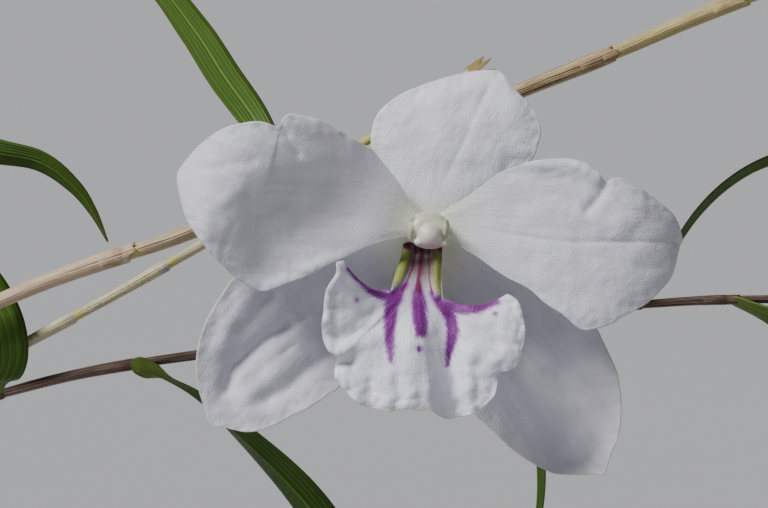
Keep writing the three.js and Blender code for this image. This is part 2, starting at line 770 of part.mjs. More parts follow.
const plant = new THREE.Group();
const holes = [];
canes.forEach((cane, index) => {
  const route = routeOf(cane, index);
  const length = route.getLength();
  const radius = cane.radius ?? 1.05;
  const joints = jointsOf(route, cane.internode ?? 19.5, cane.jointsSeen);
  let body = caneSolid(route, radius, joints);
  if (cane.leaves)
    joints.slice(1).forEach((joint, number) => {
      const at = Math.min(joint, length - 2);
      const fraction = at / length;
      if (fraction >= cane.leaves.from) body = body.add(ruleLeaf(route, at, index, number, fraction));
    });
  for (const leaf of cane.handLeaves ?? []) body = body.add(handLeaf(route, leaf));
  if (cane.bracts) body = body.add(bractSolid(route, index));
  plant.add(named(cane.name, body, cane.green ? leafGreen : straw));

  const foot = clumpFoot(index);
  const hole = new THREE.CylinderGeometry(1, 1, 40, 8).rotateX(Math.PI / 2);
  const wide = caneShape.footRadius + clump.holeGap;
  hole.scale(wide, wide, 1).translate(foot.x, foot.y, clump.rootedAt - clump.holeGap + 20);
  holes.push(solidFromGeometry(hole));
});

const part = new THREE.Group();
part.add(named("pot", potSolid(), clay));
part.add(named("potting_mix", mixSolid(holes), bark));
part.add(plant, flower);

export default part;
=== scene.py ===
import json
import math

import bmesh
import bpy
import numpy as np
from mathutils import Matrix, Vector, noise

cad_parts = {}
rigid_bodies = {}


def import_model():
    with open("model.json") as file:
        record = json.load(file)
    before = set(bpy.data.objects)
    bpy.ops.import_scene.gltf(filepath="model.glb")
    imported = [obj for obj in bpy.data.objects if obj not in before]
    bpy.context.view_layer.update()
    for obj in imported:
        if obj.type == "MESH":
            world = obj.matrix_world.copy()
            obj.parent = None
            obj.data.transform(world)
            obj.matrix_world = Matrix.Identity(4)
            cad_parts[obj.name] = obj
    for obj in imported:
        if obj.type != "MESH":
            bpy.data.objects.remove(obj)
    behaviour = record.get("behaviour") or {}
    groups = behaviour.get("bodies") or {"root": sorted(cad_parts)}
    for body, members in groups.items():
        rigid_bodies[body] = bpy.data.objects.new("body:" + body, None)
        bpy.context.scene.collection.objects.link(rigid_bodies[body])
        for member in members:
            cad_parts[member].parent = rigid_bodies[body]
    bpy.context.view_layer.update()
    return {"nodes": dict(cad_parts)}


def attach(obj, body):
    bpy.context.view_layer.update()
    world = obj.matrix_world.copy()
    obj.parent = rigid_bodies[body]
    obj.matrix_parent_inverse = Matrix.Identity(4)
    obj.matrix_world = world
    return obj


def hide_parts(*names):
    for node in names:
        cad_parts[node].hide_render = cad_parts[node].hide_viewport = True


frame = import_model()
mm = 0.001

# Where the flower stands: its own frame has x to the right, y up and z towards the viewer
flowerPlace = {"at": (175.0, -20.0, 275.0), "tiltUp": 6.0}
tilt = math.radians(90 - flowerPlace["tiltUp"])
flowerMatrix = Matrix.Translation(flowerPlace["at"]) @ Matrix.Rotation(tilt, 4, "X")


def toWorld(points):
    m = np.array(flowerMatrix)
    return np.asarray(points, float) @ m[:3, :3].T + m[:3, 3]


def turned(vector):
    return np.array(flowerMatrix.to_3x3() @ Vector(vector))


# Curves

def smoothPath(points):
    # a smooth curve through the points, read at 0 to 1
    p = np.asarray(points, float)
    p = np.vstack([2 * p[0] - p[1], p, 2 * p[-1] - p[-2]])

    def at(t):
        s = np.clip(np.asarray(t, float), 0, 1) * (len(p) - 3)
        i = np.minimum(s.astype(int), len(p) - 4)
        w = (s - i)[..., None]
        a, b, c, d = p[i], p[i + 1], p[i + 2], p[i + 3]
        m0, m1 = (c - a) / 2, (d - b) / 2
        return b + m0 * w + (3 * (c - b) - 2 * m0 - m1) * w**2 + (2 * (b - c) + m0 + m1) * w**3

    return at


class EvenPath:
    # the same curve, read by its share of the length
    def __init__(self, points, dense=600):
        self.at = smoothPath(points)
        self.t = np.linspace(0, 1, dense + 1)
        self.dense = self.at(self.t)
        steps = np.linalg.norm(np.diff(self.dense, axis=0), axis=1)
        self.far = np.concatenate([[0], np.cumsum(steps)])
        self.length = self.far[-1]

    def __call__(self, share):
        return self.at(np.interp(np.asarray(share, float) * self.length, self.far, self.t))

    def tangent(self, share):
        h = 1e-3
        d = self(np.clip(np.asarray(share) + h, 0, 1)) - self(np.clip(np.asarray(share) - h, 0, 1))
        return unit(d)


def unit(vectors):
    # the same directions, one long
    return vectors / np.linalg.norm(vectors, axis=-1, keepdims=True)


def throughHeights(heights):
    at = smoothPath([[h] for h in heights])
    return lambda t: at(t)[..., 0]


def ease(low, high, value):
    t = np.clip((value - low) / (high - low), 0, 1)
    return t * t * (3 - 2 * t)


def nearStroke(x, y, stroke):
    # how far each point is from a stroke of (x, y, half-width), less the half-width there
    nearest = np.full(x.shape, 1e9)
    if len(stroke) == 1:
        return np.hypot(x - stroke[0][0], y - stroke[0][1]) - stroke[0][2]
    for (ax, ay, aw), (bx, by, bw) in zip(stroke, stroke[1:]):
        dx, dy = bx - ax, by - ay
        t = np.clip(((x - ax) * dx + (y - ay) * dy) / (dx * dx + dy * dy), 0, 1)
        gap = np.hypot(x - ax - t * dx, y - ay - t * dy) - (aw + t * (bw - aw))
        nearest = np.minimum(nearest, gap)
    return nearest


def folded(x, y, folds):
    # the sum of soft ridges and furrows, each a path of points with a width and a height
    rise = np.zeros(x.shape)
    for fold in folds:
        gap = nearStroke(x, y, [(px, py, 0) for px, py in fold["path"]])
        rise += fold["rise"] * np.exp(-((gap / fold["width"]) ** 2))
    return rise


def lumps(x, y, scale, shift):
    # smooth unevenness over a grid
    rows = [[noise.noise((px * scale + shift[0], py * scale + shift[1], shift[2]))
             for px, py in zip(rx, ry)] for rx, ry in zip(x, y)]
    return np.array(rows)


# Meshes

def addObject(name, data):
    made = bpy.data.objects.new(name, data)
    bpy.context.scene.collection.objects.link(made)
    return made


def storeValues(mesh, values):
    # a number or a vector for each point, for the shaders and the sweeps
    for key, value in values.items():
        value = np.asarray(value, np.float32)
        kind, field = ("FLOAT", "value") if value.ndim == 1 else ("FLOAT_VECTOR", "vector")
        mesh.attributes.new(key, kind, "POINT").data.foreach_set(field, value.ravel())


def evaluated(piece):
    # the mesh that a piece's modifiers make
    graph = bpy.context.evaluated_depsgraph_get()
    return bpy.data.meshes.new_from_object(piece.evaluated_get(graph))


def addMesh(name, points, faces, material, values=None):
    mesh = bpy.data.meshes.new(name)
    mesh.from_pydata((np.asarray(points) * mm).tolist(), [], [list(map(int, f)) for f in faces])
    storeValues(mesh, values or {})
    mesh.materials.append(material)
    mesh.update()
    mesh.shade_smooth()
    return addObject(name, mesh)


def bands(start, rings, sides, inward=False):
    # faces between rings of points that follow one another from start
    faces = []
    for i in range(rings - 1):
        for j in range(sides):
            a, b = start + i * sides + j, start + i * sides + (j + 1) % sides
            faces.append((a, a + sides, b + sides, b) if inward else (a, b, b + sides, a + sides))
    return faces


def finishPiece(piece, slotName, *nodes):
    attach(piece, "root")
    if nodes:
        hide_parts(*nodes)


def outward(piece):
    # faces are turned to point outwards
    work = bmesh.new()
    work.from_mesh(piece.data)
    bmesh.ops.recalc_face_normals(work, faces=work.faces)
    work.to_mesh(piece.data)
    work.free()


def addSheet(name, grid, thickness, material, values):
    # a thin closed sheet over a grid of points; thickness is a grid too
    rows, cols = grid.shape[:2]
    ahead = np.gradient(grid, axis=0)
    beside = np.gradient(grid, axis=1)
    normal = np.cross(beside, ahead)
    normal /= np.maximum(np.linalg.norm(normal, axis=2, keepdims=True), 1e-9)
    half = thickness[..., None] / 2
    points = np.concatenate([(grid + normal * half).reshape(-1, 3), (grid - normal * half).reshape(-1, 3)])
    index = np.arange(rows * cols).reshape(rows, cols)
    a, b, c, d = index[:-1, :-1], index[:-1, 1:], index[1:, 1:], index[1:, :-1]
    front = np.stack([a, b, c, d], -1).reshape(-1, 4)
    back = np.stack([a, d, c, b], -1).reshape(-1, 4) + rows * cols
    rim = np.concatenate([index[0, :-1], index[:-1, -1], index[-1, :0:-1], index[:0:-1, 0]])
    following = np.roll(rim, -1)
    edge = np.stack([following, rim, rim + rows * cols, following + rows * cols], -1)
    both = {}
    for key, value in values.items():
        flat = value.reshape(rows * cols, -1)
        both[key] = np.concatenate([flat, flat]).squeeze()
    return addMesh(name, toWorld(points), np.concatenate([front, back, edge]), material, both)


# Shader nodes

def addNode(tree, kind, inputs=None, **settings):
    node = tree.nodes.new(kind)
    for key, value in settings.items():
        setattr(node, key, value)
    for key, value in (inputs or {}).items():
        if isinstance(value, bpy.types.NodeSocket):
            tree.links.new(value, node.inputs[key])
        else:
            node.inputs[key].default_value = value
    return node


def calc(tree, operation, a, b=0.0, c=0.0):
    return addNode(tree, "ShaderNodeMath", {0: a, 1: b, 2: c}, operation=operation).outputs[0]


def spread(tree, value, low, high, toLow=0.0, toHigh=1.0):
    node = addNode(tree, "ShaderNodeMapRange",
                   {"Value": value, "From Min": low, "From Max": high, "To Min": toLow, "To Max": toHigh})
    return node.outputs[0]


def blend(tree, factor, a, b):
    return addNode(tree, "ShaderNodeMix", {0: factor, 6: a, 7: b}, data_type="RGBA").outputs[2]


def attribute(tree, name, output="Fac"):
    return addNode(tree, "ShaderNodeAttribute", attribute_name=name).outputs[output]


def objectPlace(tree):
    return addNode(tree, "ShaderNodeTexCoord").outputs["Object"]


def clouds(tree, place, scale, detail=3.0, roughness=0.55):
    node = addNode(tree, "ShaderNodeTexNoise",
                   {"Vector": place, "Scale": scale, "Detail": detail, "Roughness": roughness})
    return node.outputs["Fac"]


def bumpFrom(tree, height, distance, strength=1.0):
    return addNode(tree, "ShaderNodeBump",
                   {"Height": height, "Distance": distance, "Strength": strength}).outputs["Normal"]


def newMaterial(name, **sockets):
    material = bpy.data.materials.new(name)
    material.use_nodes = True
    shader = material.node_tree.nodes["Principled BSDF"]
    for key, value in sockets.items():
        shader.inputs[key.replace("_", " ")].default_value = value
    return material, material.node_tree, shader


def wire(tree, shader, **sockets):
    for key, value in sockets.items():
        tree.links.new(value, shader.inputs[key.replace("_", " ")])


def newGroup(name, inputs, outputs):
    tree = bpy.data.node_groups.new(name, "ShaderNodeTree")
    for label, kind, value in inputs:
        made = tree.interface.new_socket(label, in_out="INPUT", socket_type=kind)
        if value is not None:
            made.default_value = value
    for label, kind in outputs:
        tree.interface.new_socket(label, in_out="OUTPUT", socket_type=kind)
    return tree, tree.nodes.new("NodeGroupInput"), tree.nodes.new("NodeGroupOutput")


def useGroup(tree, group, **inputs):
    return addNode(tree, "ShaderNodeGroup", inputs, node_tree=group).outputs


def makeCrystalGroup():
    # the glittering skin of petal cells: fine grain, and finer lines along the veins
    tree, start, end = newGroup(
        "crystalSkin",
        [("Place", "NodeSocketVector", None), ("Lay", "NodeSocketVector", None),
         ("CellScale", "NodeSocketFloat", 5200.0), ("VeinScale", "NodeSocketFloat", 1.0)],
        [("Height", "NodeSocketFloat"), ("Sparkle", "NodeSocketFloat"), ("Veins", "NodeSocketFloat")],
    )
    cells = addNode(tree, "ShaderNodeTexVoronoi",
                    {"Vector": start.outputs["Place"], "Scale": start.outputs["CellScale"]})
    grain = clouds(tree, start.outputs["Place"], 3800.0, 2.0)
    stretched = addNode(tree, "ShaderNodeVectorMath",
                        {0: start.outputs["Lay"], 1: (1.0, 0.07, 1.0)}, operation="MULTIPLY")
    veins = clouds(tree, stretched.outputs[0], start.outputs["VeinScale"], 4.0, 0.6)
    height = calc(tree, "MULTIPLY_ADD", cells.outputs["Distance"], 0.4, calc(tree, "MULTIPLY", grain, 0.5))
    height = calc(tree, "MULTIPLY_ADD", veins, 0.9, height)
    rumples = clouds(tree, start.outputs["Place"], 620.0, 2.0, 0.5)
    height = calc(tree, "MULTIPLY_ADD", rumples, 0.5, height)
    tree.links.new(height, end.inputs["Height"])
    tree.links.new(cells.outputs["Distance"], end.inputs["Sparkle"])
    tree.links.new(veins, end.inputs["Veins"])
    return tree


def makeFibreGroup():
    # lengthwise fibres of a dry sheath, from where a point is round the stem and along it
    tree, start, end = newGroup(
        "sheathFibres",
        [("Section", "NodeSocketVector", None), ("Along", "NodeSocketFloat", 0.0),
         ("Count", "NodeSocketFloat", 6.0)],
        [("Fibres", "NodeSocketFloat"), ("Blotches", "NodeSocketFloat")],
    )
    parts = addNode(tree, "ShaderNodeSeparateXYZ", {0: start.outputs["Section"]})
    joined = addNode(tree, "ShaderNodeCombineXYZ", {
        0: calc(tree, "MULTIPLY", parts.outputs[0], start.outputs["Count"]),
        1: calc(tree, "MULTIPLY", parts.outputs[1], start.outputs["Count"]),
        2: calc(tree, "MULTIPLY", start.outputs["Along"], 0.06),
    })
    strands = clouds(tree, joined.outputs[0], 1.0, 3.0, 0.7)
    turn = calc(tree, "ARCTAN2", parts.outputs[1], parts.outputs[0])
    phase = calc(tree, "MULTIPLY_ADD", turn, 20.0, calc(tree, "MULTIPLY", strands, 7.0))
    ribs = calc(tree, "MULTIPLY_ADD", calc(tree, "SINE", phase), 0.14, 0.5)
    fibres = calc(tree, "MULTIPLY_ADD", strands, 0.62, calc(tree, "MULTIPLY", ribs, 0.38))
    wide = addNode(tree, "ShaderNodeCombineXYZ", {
        0: parts.outputs[0], 1: parts.outputs[1],
        2: calc(tree, "MULTIPLY", start.outputs["Along"], 0.22),
    })
    tree.links.new(spread(tree, fibres, 0.38, 0.62), end.inputs["Fibres"])
    tree.links.new(clouds(tree, wide.outputs[0], 1.3, 4.0), end.inputs["Blotches"])
    return tree


crystalSkin = makeCrystalGroup()
sheathFibres = makeFibreGroup()
print("stage: shader groups made")

# Petals and sepals

petalFinish = {
    "white": (0.78, 0.77, 0.86, 1),
    "vein": (0.64, 0.62, 0.73, 1),
    "base": (0.66, 0.71, 0.46, 1),
    "grain": 0.00012,
}


def petalMaterial():
    material, tree, shader = newMaterial(
        "petalWhite", Subsurface_Weight=0.3, Subsurface_Scale=0.0012, Specular_IOR_Level=0.35,
        Subsurface_Radius=(1.0, 0.9, 0.9), Sheen_Weight=0.12, Sheen_Roughness=0.4)
    skin = useGroup(tree, crystalSkin, Place=objectPlace(tree), Lay=attribute(tree, "lay", "Vector"))
    veined = blend(tree, spread(tree, skin["Veins"], 0.45, 0.72, 0.0, 0.55),
                   petalFinish["white"], petalFinish["vein"])
    # painted light and shade: each tepal's white is scaled by its tone
    toned = addNode(tree, "ShaderNodeVectorMath",
                    {0: veined, "Scale": attribute(tree, "tone")}, operation="SCALE").outputs[0]
    near = spread(tree, attribute(tree, "along"), 0.03, 0.19, 0.7, 0.0)
    wire(tree, shader,
         Base_Color=blend(tree, near, toned, petalFinish["base"]),
         Roughness=spread(tree, skin["Sparkle"], 0.0, 0.8, 0.42, 0.62),
         Normal=bumpFrom(tree, skin["Height"], petalFinish["grain"], 0.8))
    return material


petalWhite = petalMaterial()

# Each edge runs from the flower's middle to the tip. A fold is a ridge or furrow along a path. Tone scales
# each one's white: painted light on the dorsal sepal, painted shade on the petals and lateral sepals.
tepals = {
    "dorsal_sepal": {
        "tone": 1.06,
        "left": [(-1.9, 0.9), (-3.2, 3.0), (-4.3, 5.0), (-5.3, 7.5), (-6.6, 9.9), (-6.7, 11.7),
                 (-6.2, 13.6), (-5.1, 15.0), (-3.2, 16.4), (-0.9, 17.4), (1.4, 18.2), (3.8, 18.9),
                 (6.1, 19.3), (8.1, 19.4)],
        "right": [(2.0, 0.9), (3.6, 2.2), (5.6, 3.6), (8.6, 5.8), (12.2, 8.4), (13.2, 10.6),
                  (13.5, 12.0), (13.2, 13.4), (12.6, 14.6), (11.4, 16.0), (10.3, 17.2), (9.3, 18.6),
                  (8.7, 19.2)],
        "middle": [-2.0, -2.2, -2.8, -4.2, -6.4],
        "depthLeft": [-2.0, -2.8, -3.6, -4.7, -6.4],
        "depthRight": [-2.0, -2.8, -3.9, -5.1, -6.4],
        "folds": [
            {"path": [(1.6, 5.5), (4.4, 11.0), (7.4, 17.6)], "width": 0.5, "rise": -0.10},
            {"path": [(4.2, 18.4), (8.4, 18.9)], "width": 1.0, "rise": -0.35},
        ],
    },
    "petal_left": {
        "tone": 0.88,
        "left": [(-0.9, -0.8), (-3.0, -0.6), (-6.6, -1.5), (-9.8, -3.0), (-14.0, -5.1), (-16.3, -6.0),
                 (-18.1, -6.7), (-19.5, -7.0), (-21.0, -6.4), (-22.8, -5.2), (-25.1, -2.9),
                 (-26.9, -0.7), (-28.4, 1.7), (-29.3, 4.7), (-29.6, 6.5)],
        "right": [(-0.8, 2.0), (-2.2, 3.8), (-3.5, 5.9), (-5.1, 7.9), (-6.7, 9.7), (-9.2, 11.2),
                  (-10.6, 12.0), (-12.7, 13.1), (-14.4, 13.5), (-16.0, 13.8), (-17.0, 13.3),
                  (-17.5, 12.3), (-18.6, 12.6), (-19.9, 12.9), (-22.2, 12.6), (-24.5, 11.8),
                  (-26.9, 10.1), (-28.3, 8.6), (-29.5, 7.0)],
        "middle": [-1.0, 0.9, 3.6, 5.0, 0.6],
        "depthLeft": [-1.0, 0.9, 3.0, 4.4, 0.6],
        "depthRight": [-1.0, 1.3, 4.2, 4.6, 0.6],
        "folds": [
            {"path": [(-17.2, 12.9), (-16.4, 10.9), (-15.2, 9.2)], "width": 0.55, "rise": -0.38},
            {"path": [(-16.3, 13.2), (-12.2, 12.2), (-9.0, 10.4)], "width": 1.1, "rise": 0.42},
            {"path": [(-5.0, 2.0), (-12.6, 2.4), (-17.6, 0.2), (-19.6, -3.4)], "width": 4.6, "rise": -2.1},
            {"path": [(-11.0, 6.4), (-15.6, 5.4), (-17.8, 3.4)], "width": 1.6, "rise": -0.35},
            {"path": [(-3.6, 0.2), (-9.0, -2.2), (-13.6, -4.4)], "width": 0.7, "rise": 0.22},
            {"path": [(-22.0, 5.0), (-25.6, 2.4), (-26.2, -0.5)], "width": 0.9, "rise": 0.2},
            {"path": [(-20.6, 8.2), (-25.6, 7.4), (-28.0, 6.9)], "width": 0.7, "rise": -0.16},
            {"path": [(-22.8, 1.0), (-23.8, -1.6)], "width": 0.5, "rise": -0.14},
            {"path": [(-10.0, -2.8), (-14.8, -5.0), (-18.6, -6.5)], "width": 0.8, "rise": 0.25},
        ],
    },
    "petal_right": {
        "tone": 0.87,
        "left": [(0.9, 1.8), (2.4, 2.9), (3.8, 3.7), (5.5, 4.8), (7.1, 6.0), (8.7, 7.1), (11.0, 7.9),
                 (12.2, 8.3), (13.8, 8.5), (15.2, 8.6), (17.0, 8.5), (18.6, 8.0), (19.9, 7.0),
                 (20.8, 5.9), (21.7, 6.3), (22.8, 6.3), (23.8, 5.8), (25.6, 4.7), (27.4, 3.4),
                 (28.8, 2.2), (29.6, 0.9), (30.1, -0.6)],
        "right": [(0.9, -0.6), (2.6, -0.9), (5.0, -2.4), (8.8, -5.1), (11.8, -6.7), (13.7, -8.4),
                  (15.6, -9.6), (17.3, -11.1), (18.3, -11.6), (19.9, -11.3), (21.6, -10.7),
                  (22.5, -10.1), (24.3, -9.2), (26.0, -8.1), (27.4, -6.8), (28.6, -5.4), (29.3, -3.5),
                  (29.7, -1.9), (30.1, -1.1)],
        "middle": [-1.0, 1.0, 2.8, 2.8, -1.6],
        "depthLeft": [-1.0, 0.9, 2.3, 2.2, -1.6],
        "depthRight": [-1.0, 1.5, 3.4, 2.4, -1.6],
        "folds": [
            {"path": [(20.8, 6.0), (20.0, 4.0), (18.6, 2.4)], "width": 0.6, "rise": -0.34},
            {"path": [(12.6, 8.0), (17.0, 7.8), (20.0, 6.4)], "width": 0.9, "rise": 0.45},
            {"path": [(4.0, 0.6), (16.0, -1.2), (30.0, -1.2)], "width": 0.35, "rise": -0.14},
            {"path": [(14.0, 3.2), (22.0, 0.6)], "width": 1.2, "rise": 0.16},
            {"path": [(22.0, -4.0), (27.4, -4.2)], "width": 0.8, "rise": -0.14},
            {"path": [(24.0, 2.2), (28.6, 0.4)], "width": 0.7, "rise": -0.12},
        ],
    },
    "lateral_sepal_left": {
        "tone": 0.83,
        "left": [(-0.2, -3.4), (-1.9, -5.0), (-3.1, -7.5), (-4.8, -11.4), (-10.3, -18.2),
                 (-11.6, -19.1), (-12.7, -20.0), (-14.5, -21.1), (-16.3, -21.9), (-17.7, -22.7),
                 (-19.8, -23.5), (-21.6, -23.7), (-23.1, -23.4), (-24.4, -23.1), (-25.6, -23.1)],
        "right": [(-0.9, 0.2), (-2.9, -0.4), (-6.6, -1.2), (-14.2, -2.4), (-20.4, -3.4), (-22.9, -5.3),
                  (-24.5, -7.4), (-26.1, -10.1), (-27.0, -12.5), (-27.4, -14.4), (-27.5, -16.2),
                  (-27.3, -18.1), (-26.8, -19.9), (-26.3, -21.5), (-25.8, -22.9)],
        "middle": [-6.4, -5.8, -4.9, -3.8, -1.8],
        "depthLeft": [-9.4, -6.0, -4.4, -3.1, -1.8],
        "depthRight": [-3.0, -3.4, -3.1, -2.6, -1.8],
        "folds": [
            {"path": [(-16.9, -11.0), (-20.9, -14.0), (-23.2, -16.2), (-24.0, -18.6)],
             "width": 1.0, "rise": -0.85},
            {"path": [(-10.6, -13.8), (-13.6, -16.0), (-16.8, -18.6), (-19.0, -19.8)],
             "width": 1.0, "rise": -0.55},
            {"path": [(-15.4, -14.6), (-18.4, -17.0), (-21.6, -19.6)], "width": 1.0, "rise": 0.3},
            {"path": [(-14.6, -10.4), (-17.6, -12.4)], "width": 0.6, "rise": -0.3},
            {"path": [(-18.6, -7.6), (-20.6, -9.6)], "width": 0.7, "rise": -0.2},
            {"path": [(-20.4, -6.8), (-23.4, -10.4), (-24.6, -13.6)], "width": 1.3, "rise": 0.5},
            {"path": [(-16.0, -13.6), (-17.4, -14.6)], "width": 0.4, "rise": -0.16},
            {"path": [(-14.4, -8.4), (-19.6, -9.0), (-23.8, -11.0)], "width": 0.6, "rise": 0.12},
            {"path": [(-12.0, -9.0), (-15.6, -10.4)], "width": 0.5, "rise": -0.14},
            {"path": [(-18.0, -21.4), (-22.0, -21.6), (-24.8, -21.4)], "width": 0.8, "rise": 0.2},
        ],
    },
    "lateral_sepal_right": {
        "tone": 0.78,
        "left": [(0.9, 0.2), (2.8, -0.7), (5.0, -2.5), (11.2, -5.4), (17.0, -8.6), (19.9, -11.3),
                 (20.8, -12.9), (21.8, -15.0), (22.5, -16.7), (22.8, -18.4), (23.0, -20.4),
                 (22.9, -22.5), (22.6, -24.5), (22.1, -25.6), (21.6, -27.0), (21.1, -28.7)],
        "right": [(0.1, -3.4), (1.6, -5.2), (2.0, -8.4), (3.4, -15.4), (5.4, -21.2), (6.7, -22.7),
                  (7.9, -23.8), (9.4, -25.3), (10.9, -26.5), (12.6, -27.6), (14.2, -28.4),
                  (15.2, -28.8), (16.8, -28.9), (18.5, -28.9), (20.1, -28.8), (20.9, -29.0)],
        "middle": [-6.4, -6.8, -7.4, -7.0, -3.4],
        "depthLeft": [-3.0, -3.6, -3.7, -3.4, -3.4],
        "depthRight": [-9.4, -7.4, -6.8, -5.6, -3.4],
        "folds": [
            {"path": [(12.4, -9.0), (17.0, -14.6), (18.6, -21.0), (17.8, -26.0)],
             "width": 3.2, "rise": -1.4},
            {"path": [(17.6, -10.4), (20.9, -15.6), (21.5, -22.0), (20.7, -27.0)],
             "width": 1.0, "rise": 0.4},
            {"path": [(9.0, -16.0), (12.4, -22.0), (14.0, -26.6)], "width": 0.6, "rise": 0.14},
            {"path": [(14.6, -27.8), (19.8, -27.6)], "width": 0.8, "rise": 0.3},
            {"path": [(13.4, -7.6), (17.6, -11.8)], "width": 0.5, "rise": 0.12},
        ],
    },
}
petalSheet = {"across": 84, "along": 130, "thickness": 0.42, "edge": 0.14,
              "swell": 0.22, "pucker": 0.05, "marginWave": 0.11, "toneDrift": 0.05}


def petalGrid(tepal, seed):
    across = np.linspace(0, 1, petalSheet["across"] + 1)
    along = np.linspace(0, 1, petalSheet["along"] + 1)
    left = EvenPath([(x, y, 0) for x, y in tepal["left"]])(along)[:, None]
    right = EvenPath([(x, y, 0) for x, y in tepal["right"]])(along)[:, None]
    u = across[None, :, None]
    grid = left * (1 - u) + right * u
    s = (2 * u - 1)[..., 0]
    zl, zm, zr = (throughHeights(tepal[k])(along)[:, None] for k in ("depthLeft", "middle", "depthRight"))
    grid[..., 2] = zm + s * (zr - zl) / 2 + s * s * ((zr + zl) / 2 - zm)
    x, y = grid[..., 0], grid[..., 1]
    free = ease(0.12, 0.4, along)[:, None]
    grid[..., 2] += folded(x, y, tepal["folds"]) * free
    # slight swells and puckers everywhere, and a little wave at the margins
    wave = lumps(x, y, 0.35, (seed, 0, seed))
    fine = lumps(x, y, 1.1, (0, seed, 3.1))
    margin = ease(0.6, 1.0, np.abs(s))
    pucker = petalSheet["pucker"] + petalSheet["marginWave"] * margin
    grid[..., 2] += free * (petalSheet["swell"] * wave + pucker * fine)
    lengths = EvenPath([(p + q) / 2 for p, q in zip(left[:, 0], right[:, 0])]).length
    width = np.linalg.norm(right - left, axis=2)
    share = np.repeat(along[:, None], len(across), 1)
    # the veins' own coordinates: across the petal, along it, and another patch of noise for each
    lay = np.stack([s * np.maximum(width, 3.0) / 2 + seed * 7, share * lengths, 0 * x + seed * 3], -1)
    edgeShare = np.maximum(margin, ease(0.93, 1.0, along)[:, None])
    thickness = petalSheet["thickness"] * (1 - edgeShare) + petalSheet["edge"] * edgeShare
    # tone is painted light and shade for each tepal, with a little random drift
    tone = tepal["tone"] * (1 + petalSheet["toneDrift"] * wave)
    return grid, thickness, {"along": share, "tone": tone, "lay": lay}


def makeTepals():
    for seed, (name, tepal) in enumerate(tepals.items(), 1):
        grid, thickness, values = petalGrid(tepal, seed)
        finishPiece(addSheet(name + "_bloom", grid, thickness, petalWhite, values), "petal", name)


makeTepals()
print("stage: petals and sepals made")

# Lip

lip = {
    "clawMiddle": [(-0.42, -0.3, -5.9), (-0.72, -2.8, -3.6), (-1.12, -4.9, -1.2), (-1.45, -7.5, 1.7)],
    "clawHalfWidth": [2.2, 2.4, 2.62, 3.0],
    "throatDrop": -0.45,
    "margin": [
        (-9.9, -3.4), (-10.7, -3.6), (-10.7, -4.7), (-11.5, -6.0), (-12.0, -7.2), (-12.2, -9.0),
        (-12.4, -11.0),
        (-12.2, -12.6), (-11.6, -13.9), (-11.0, -14.3), (-10.6, -14.9), (-10.9, -15.8), (-10.9, -16.9),
        (-10.5, -17.6), (-10.0, -18.1), (-9.0, -19.2), (-7.8, -20.1), (-6.1, -20.6), (-4.6, -20.9),
        (-3.4, -20.6), (-2.1, -20.6), (-0.9, -20.8), (0.1, -20.6), (0.6, -21.0), (1.4, -21.6), (2.5, -21.9),
        (3.4, -21.6), (4.4, -21.5), (5.4, -21.1), (6.6, -20.3), (7.7, -19.2), (8.0, -18.1), (8.1, -17.2),
        (8.4, -16.4), (9.1, -16.3), (10.0, -15.9), (10.6, -15.1), (10.9, -13.9), (11.2, -12.7), (11.3, -11.3),
        (11.0, -9.7), (10.6, -8.3), (9.9, -7.6), (9.2, -7.3),
    ],
    "marginDepth": [6.4, 7.2, 7.4, 7.8, 7.2, 5.6, 4.6, 4.0, 2.8],
    "edgeSag": 1.1,
    "clawHollow": 0.6,
    "fanBow": 1.0,
    "swell": 0.22,
    "pucker": 0.06,
    "marginWave": 0.2,
    "ruffle": 0.16,
    "columns": 220,
    "clawRows": 44,
    "fanRows": 116,
    "thickness": 0.42,
    "edge": 0.14,
    "ridges": [
        {"path": [(-2.3, -1.0), (-2.55, -2.7), (-3.05, -4.6), (-3.55, -5.8), (-4.4, -6.7)],
         "width": 0.5, "rise": 0.75},
        {"path": [(1.25, -1.2), (1.2, -2.8), (0.95, -4.6), (0.85, -6.0), (1.05, -7.4)],
         "width": 0.5, "rise": 0.8},
        {"path": [(-0.8, -2.0), (-0.95, -5.0), (-1.2, -7.2)], "width": 0.3, "rise": 0.2},
    ],
    "folds": [
        {"path": [(-12.0, -14.2), (-9.4, -13.5), (-7.0, -12.8)], "width": 1.1, "rise": 0.4},
        {"path": [(-10.9, -15.6), (-9.2, -15.2)], "width": 0.8, "rise": -0.6},
        {"path": [(2.2, -10.2), (2.5, -15.0), (2.9, -21.4)], "width": 1.8, "rise": -0.9},
        {"path": [(2.6, -15.0), (3.0, -21.6)], "width": 1.3, "rise": -0.7},
        {"path": [(-6.8, -17.6), (-6.4, -20.4)], "width": 0.7, "rise": -0.35},
        {"path": [(-3.6, -17.0), (-3.4, -20.4)], "width": 0.8, "rise": -0.4},
        {"path": [(-0.2, -17.4), (0.2, -20.6)], "width": 0.8, "rise": 0.35},
        {"path": [(5.4, -15.8), (5.8, -20.6)], "width": 0.8, "rise": -0.4},
        {"path": [(-10.0, -9.8), (-7.0, -9.0)], "width": 0.6, "rise": 0.14},
        {"path": [(-9.6, -11.3), (-6.8, -10.0)], "width": 0.6, "rise": -0.14},
        {"path": [(8.0, -12.6), (10.8, -13.4)], "width": 0.7, "rise": -0.2},
        {"path": [(-2.0, -11.4), (-2.6, -16.0), (-3.0, -19.6)], "width": 2.6, "rise": 0.8},
        {"path": [(4.6, -14.4), (5.0, -19.8)], "width": 1.2, "rise": 0.3},
        {"path": [(-11.4, -8.6), (-9.4, -9.4), (-6.6, -9.6)], "width": 0.9, "rise": -0.4},
        {"path": [(-11.8, -12.4), (-9.0, -12.2), (-7.0, -11.4)], "width": 0.8, "rise": -0.42},
        {"path": [(3.6, -20.8), (6.4, -19.6), (7.6, -17.6)], "width": 1.6, "rise": -0.5},
        {"path": [(5.0, -9.6), (8.4, -10.6), (9.2, -13.6)], "width": 1.6, "rise": 0.5},
    ],
}
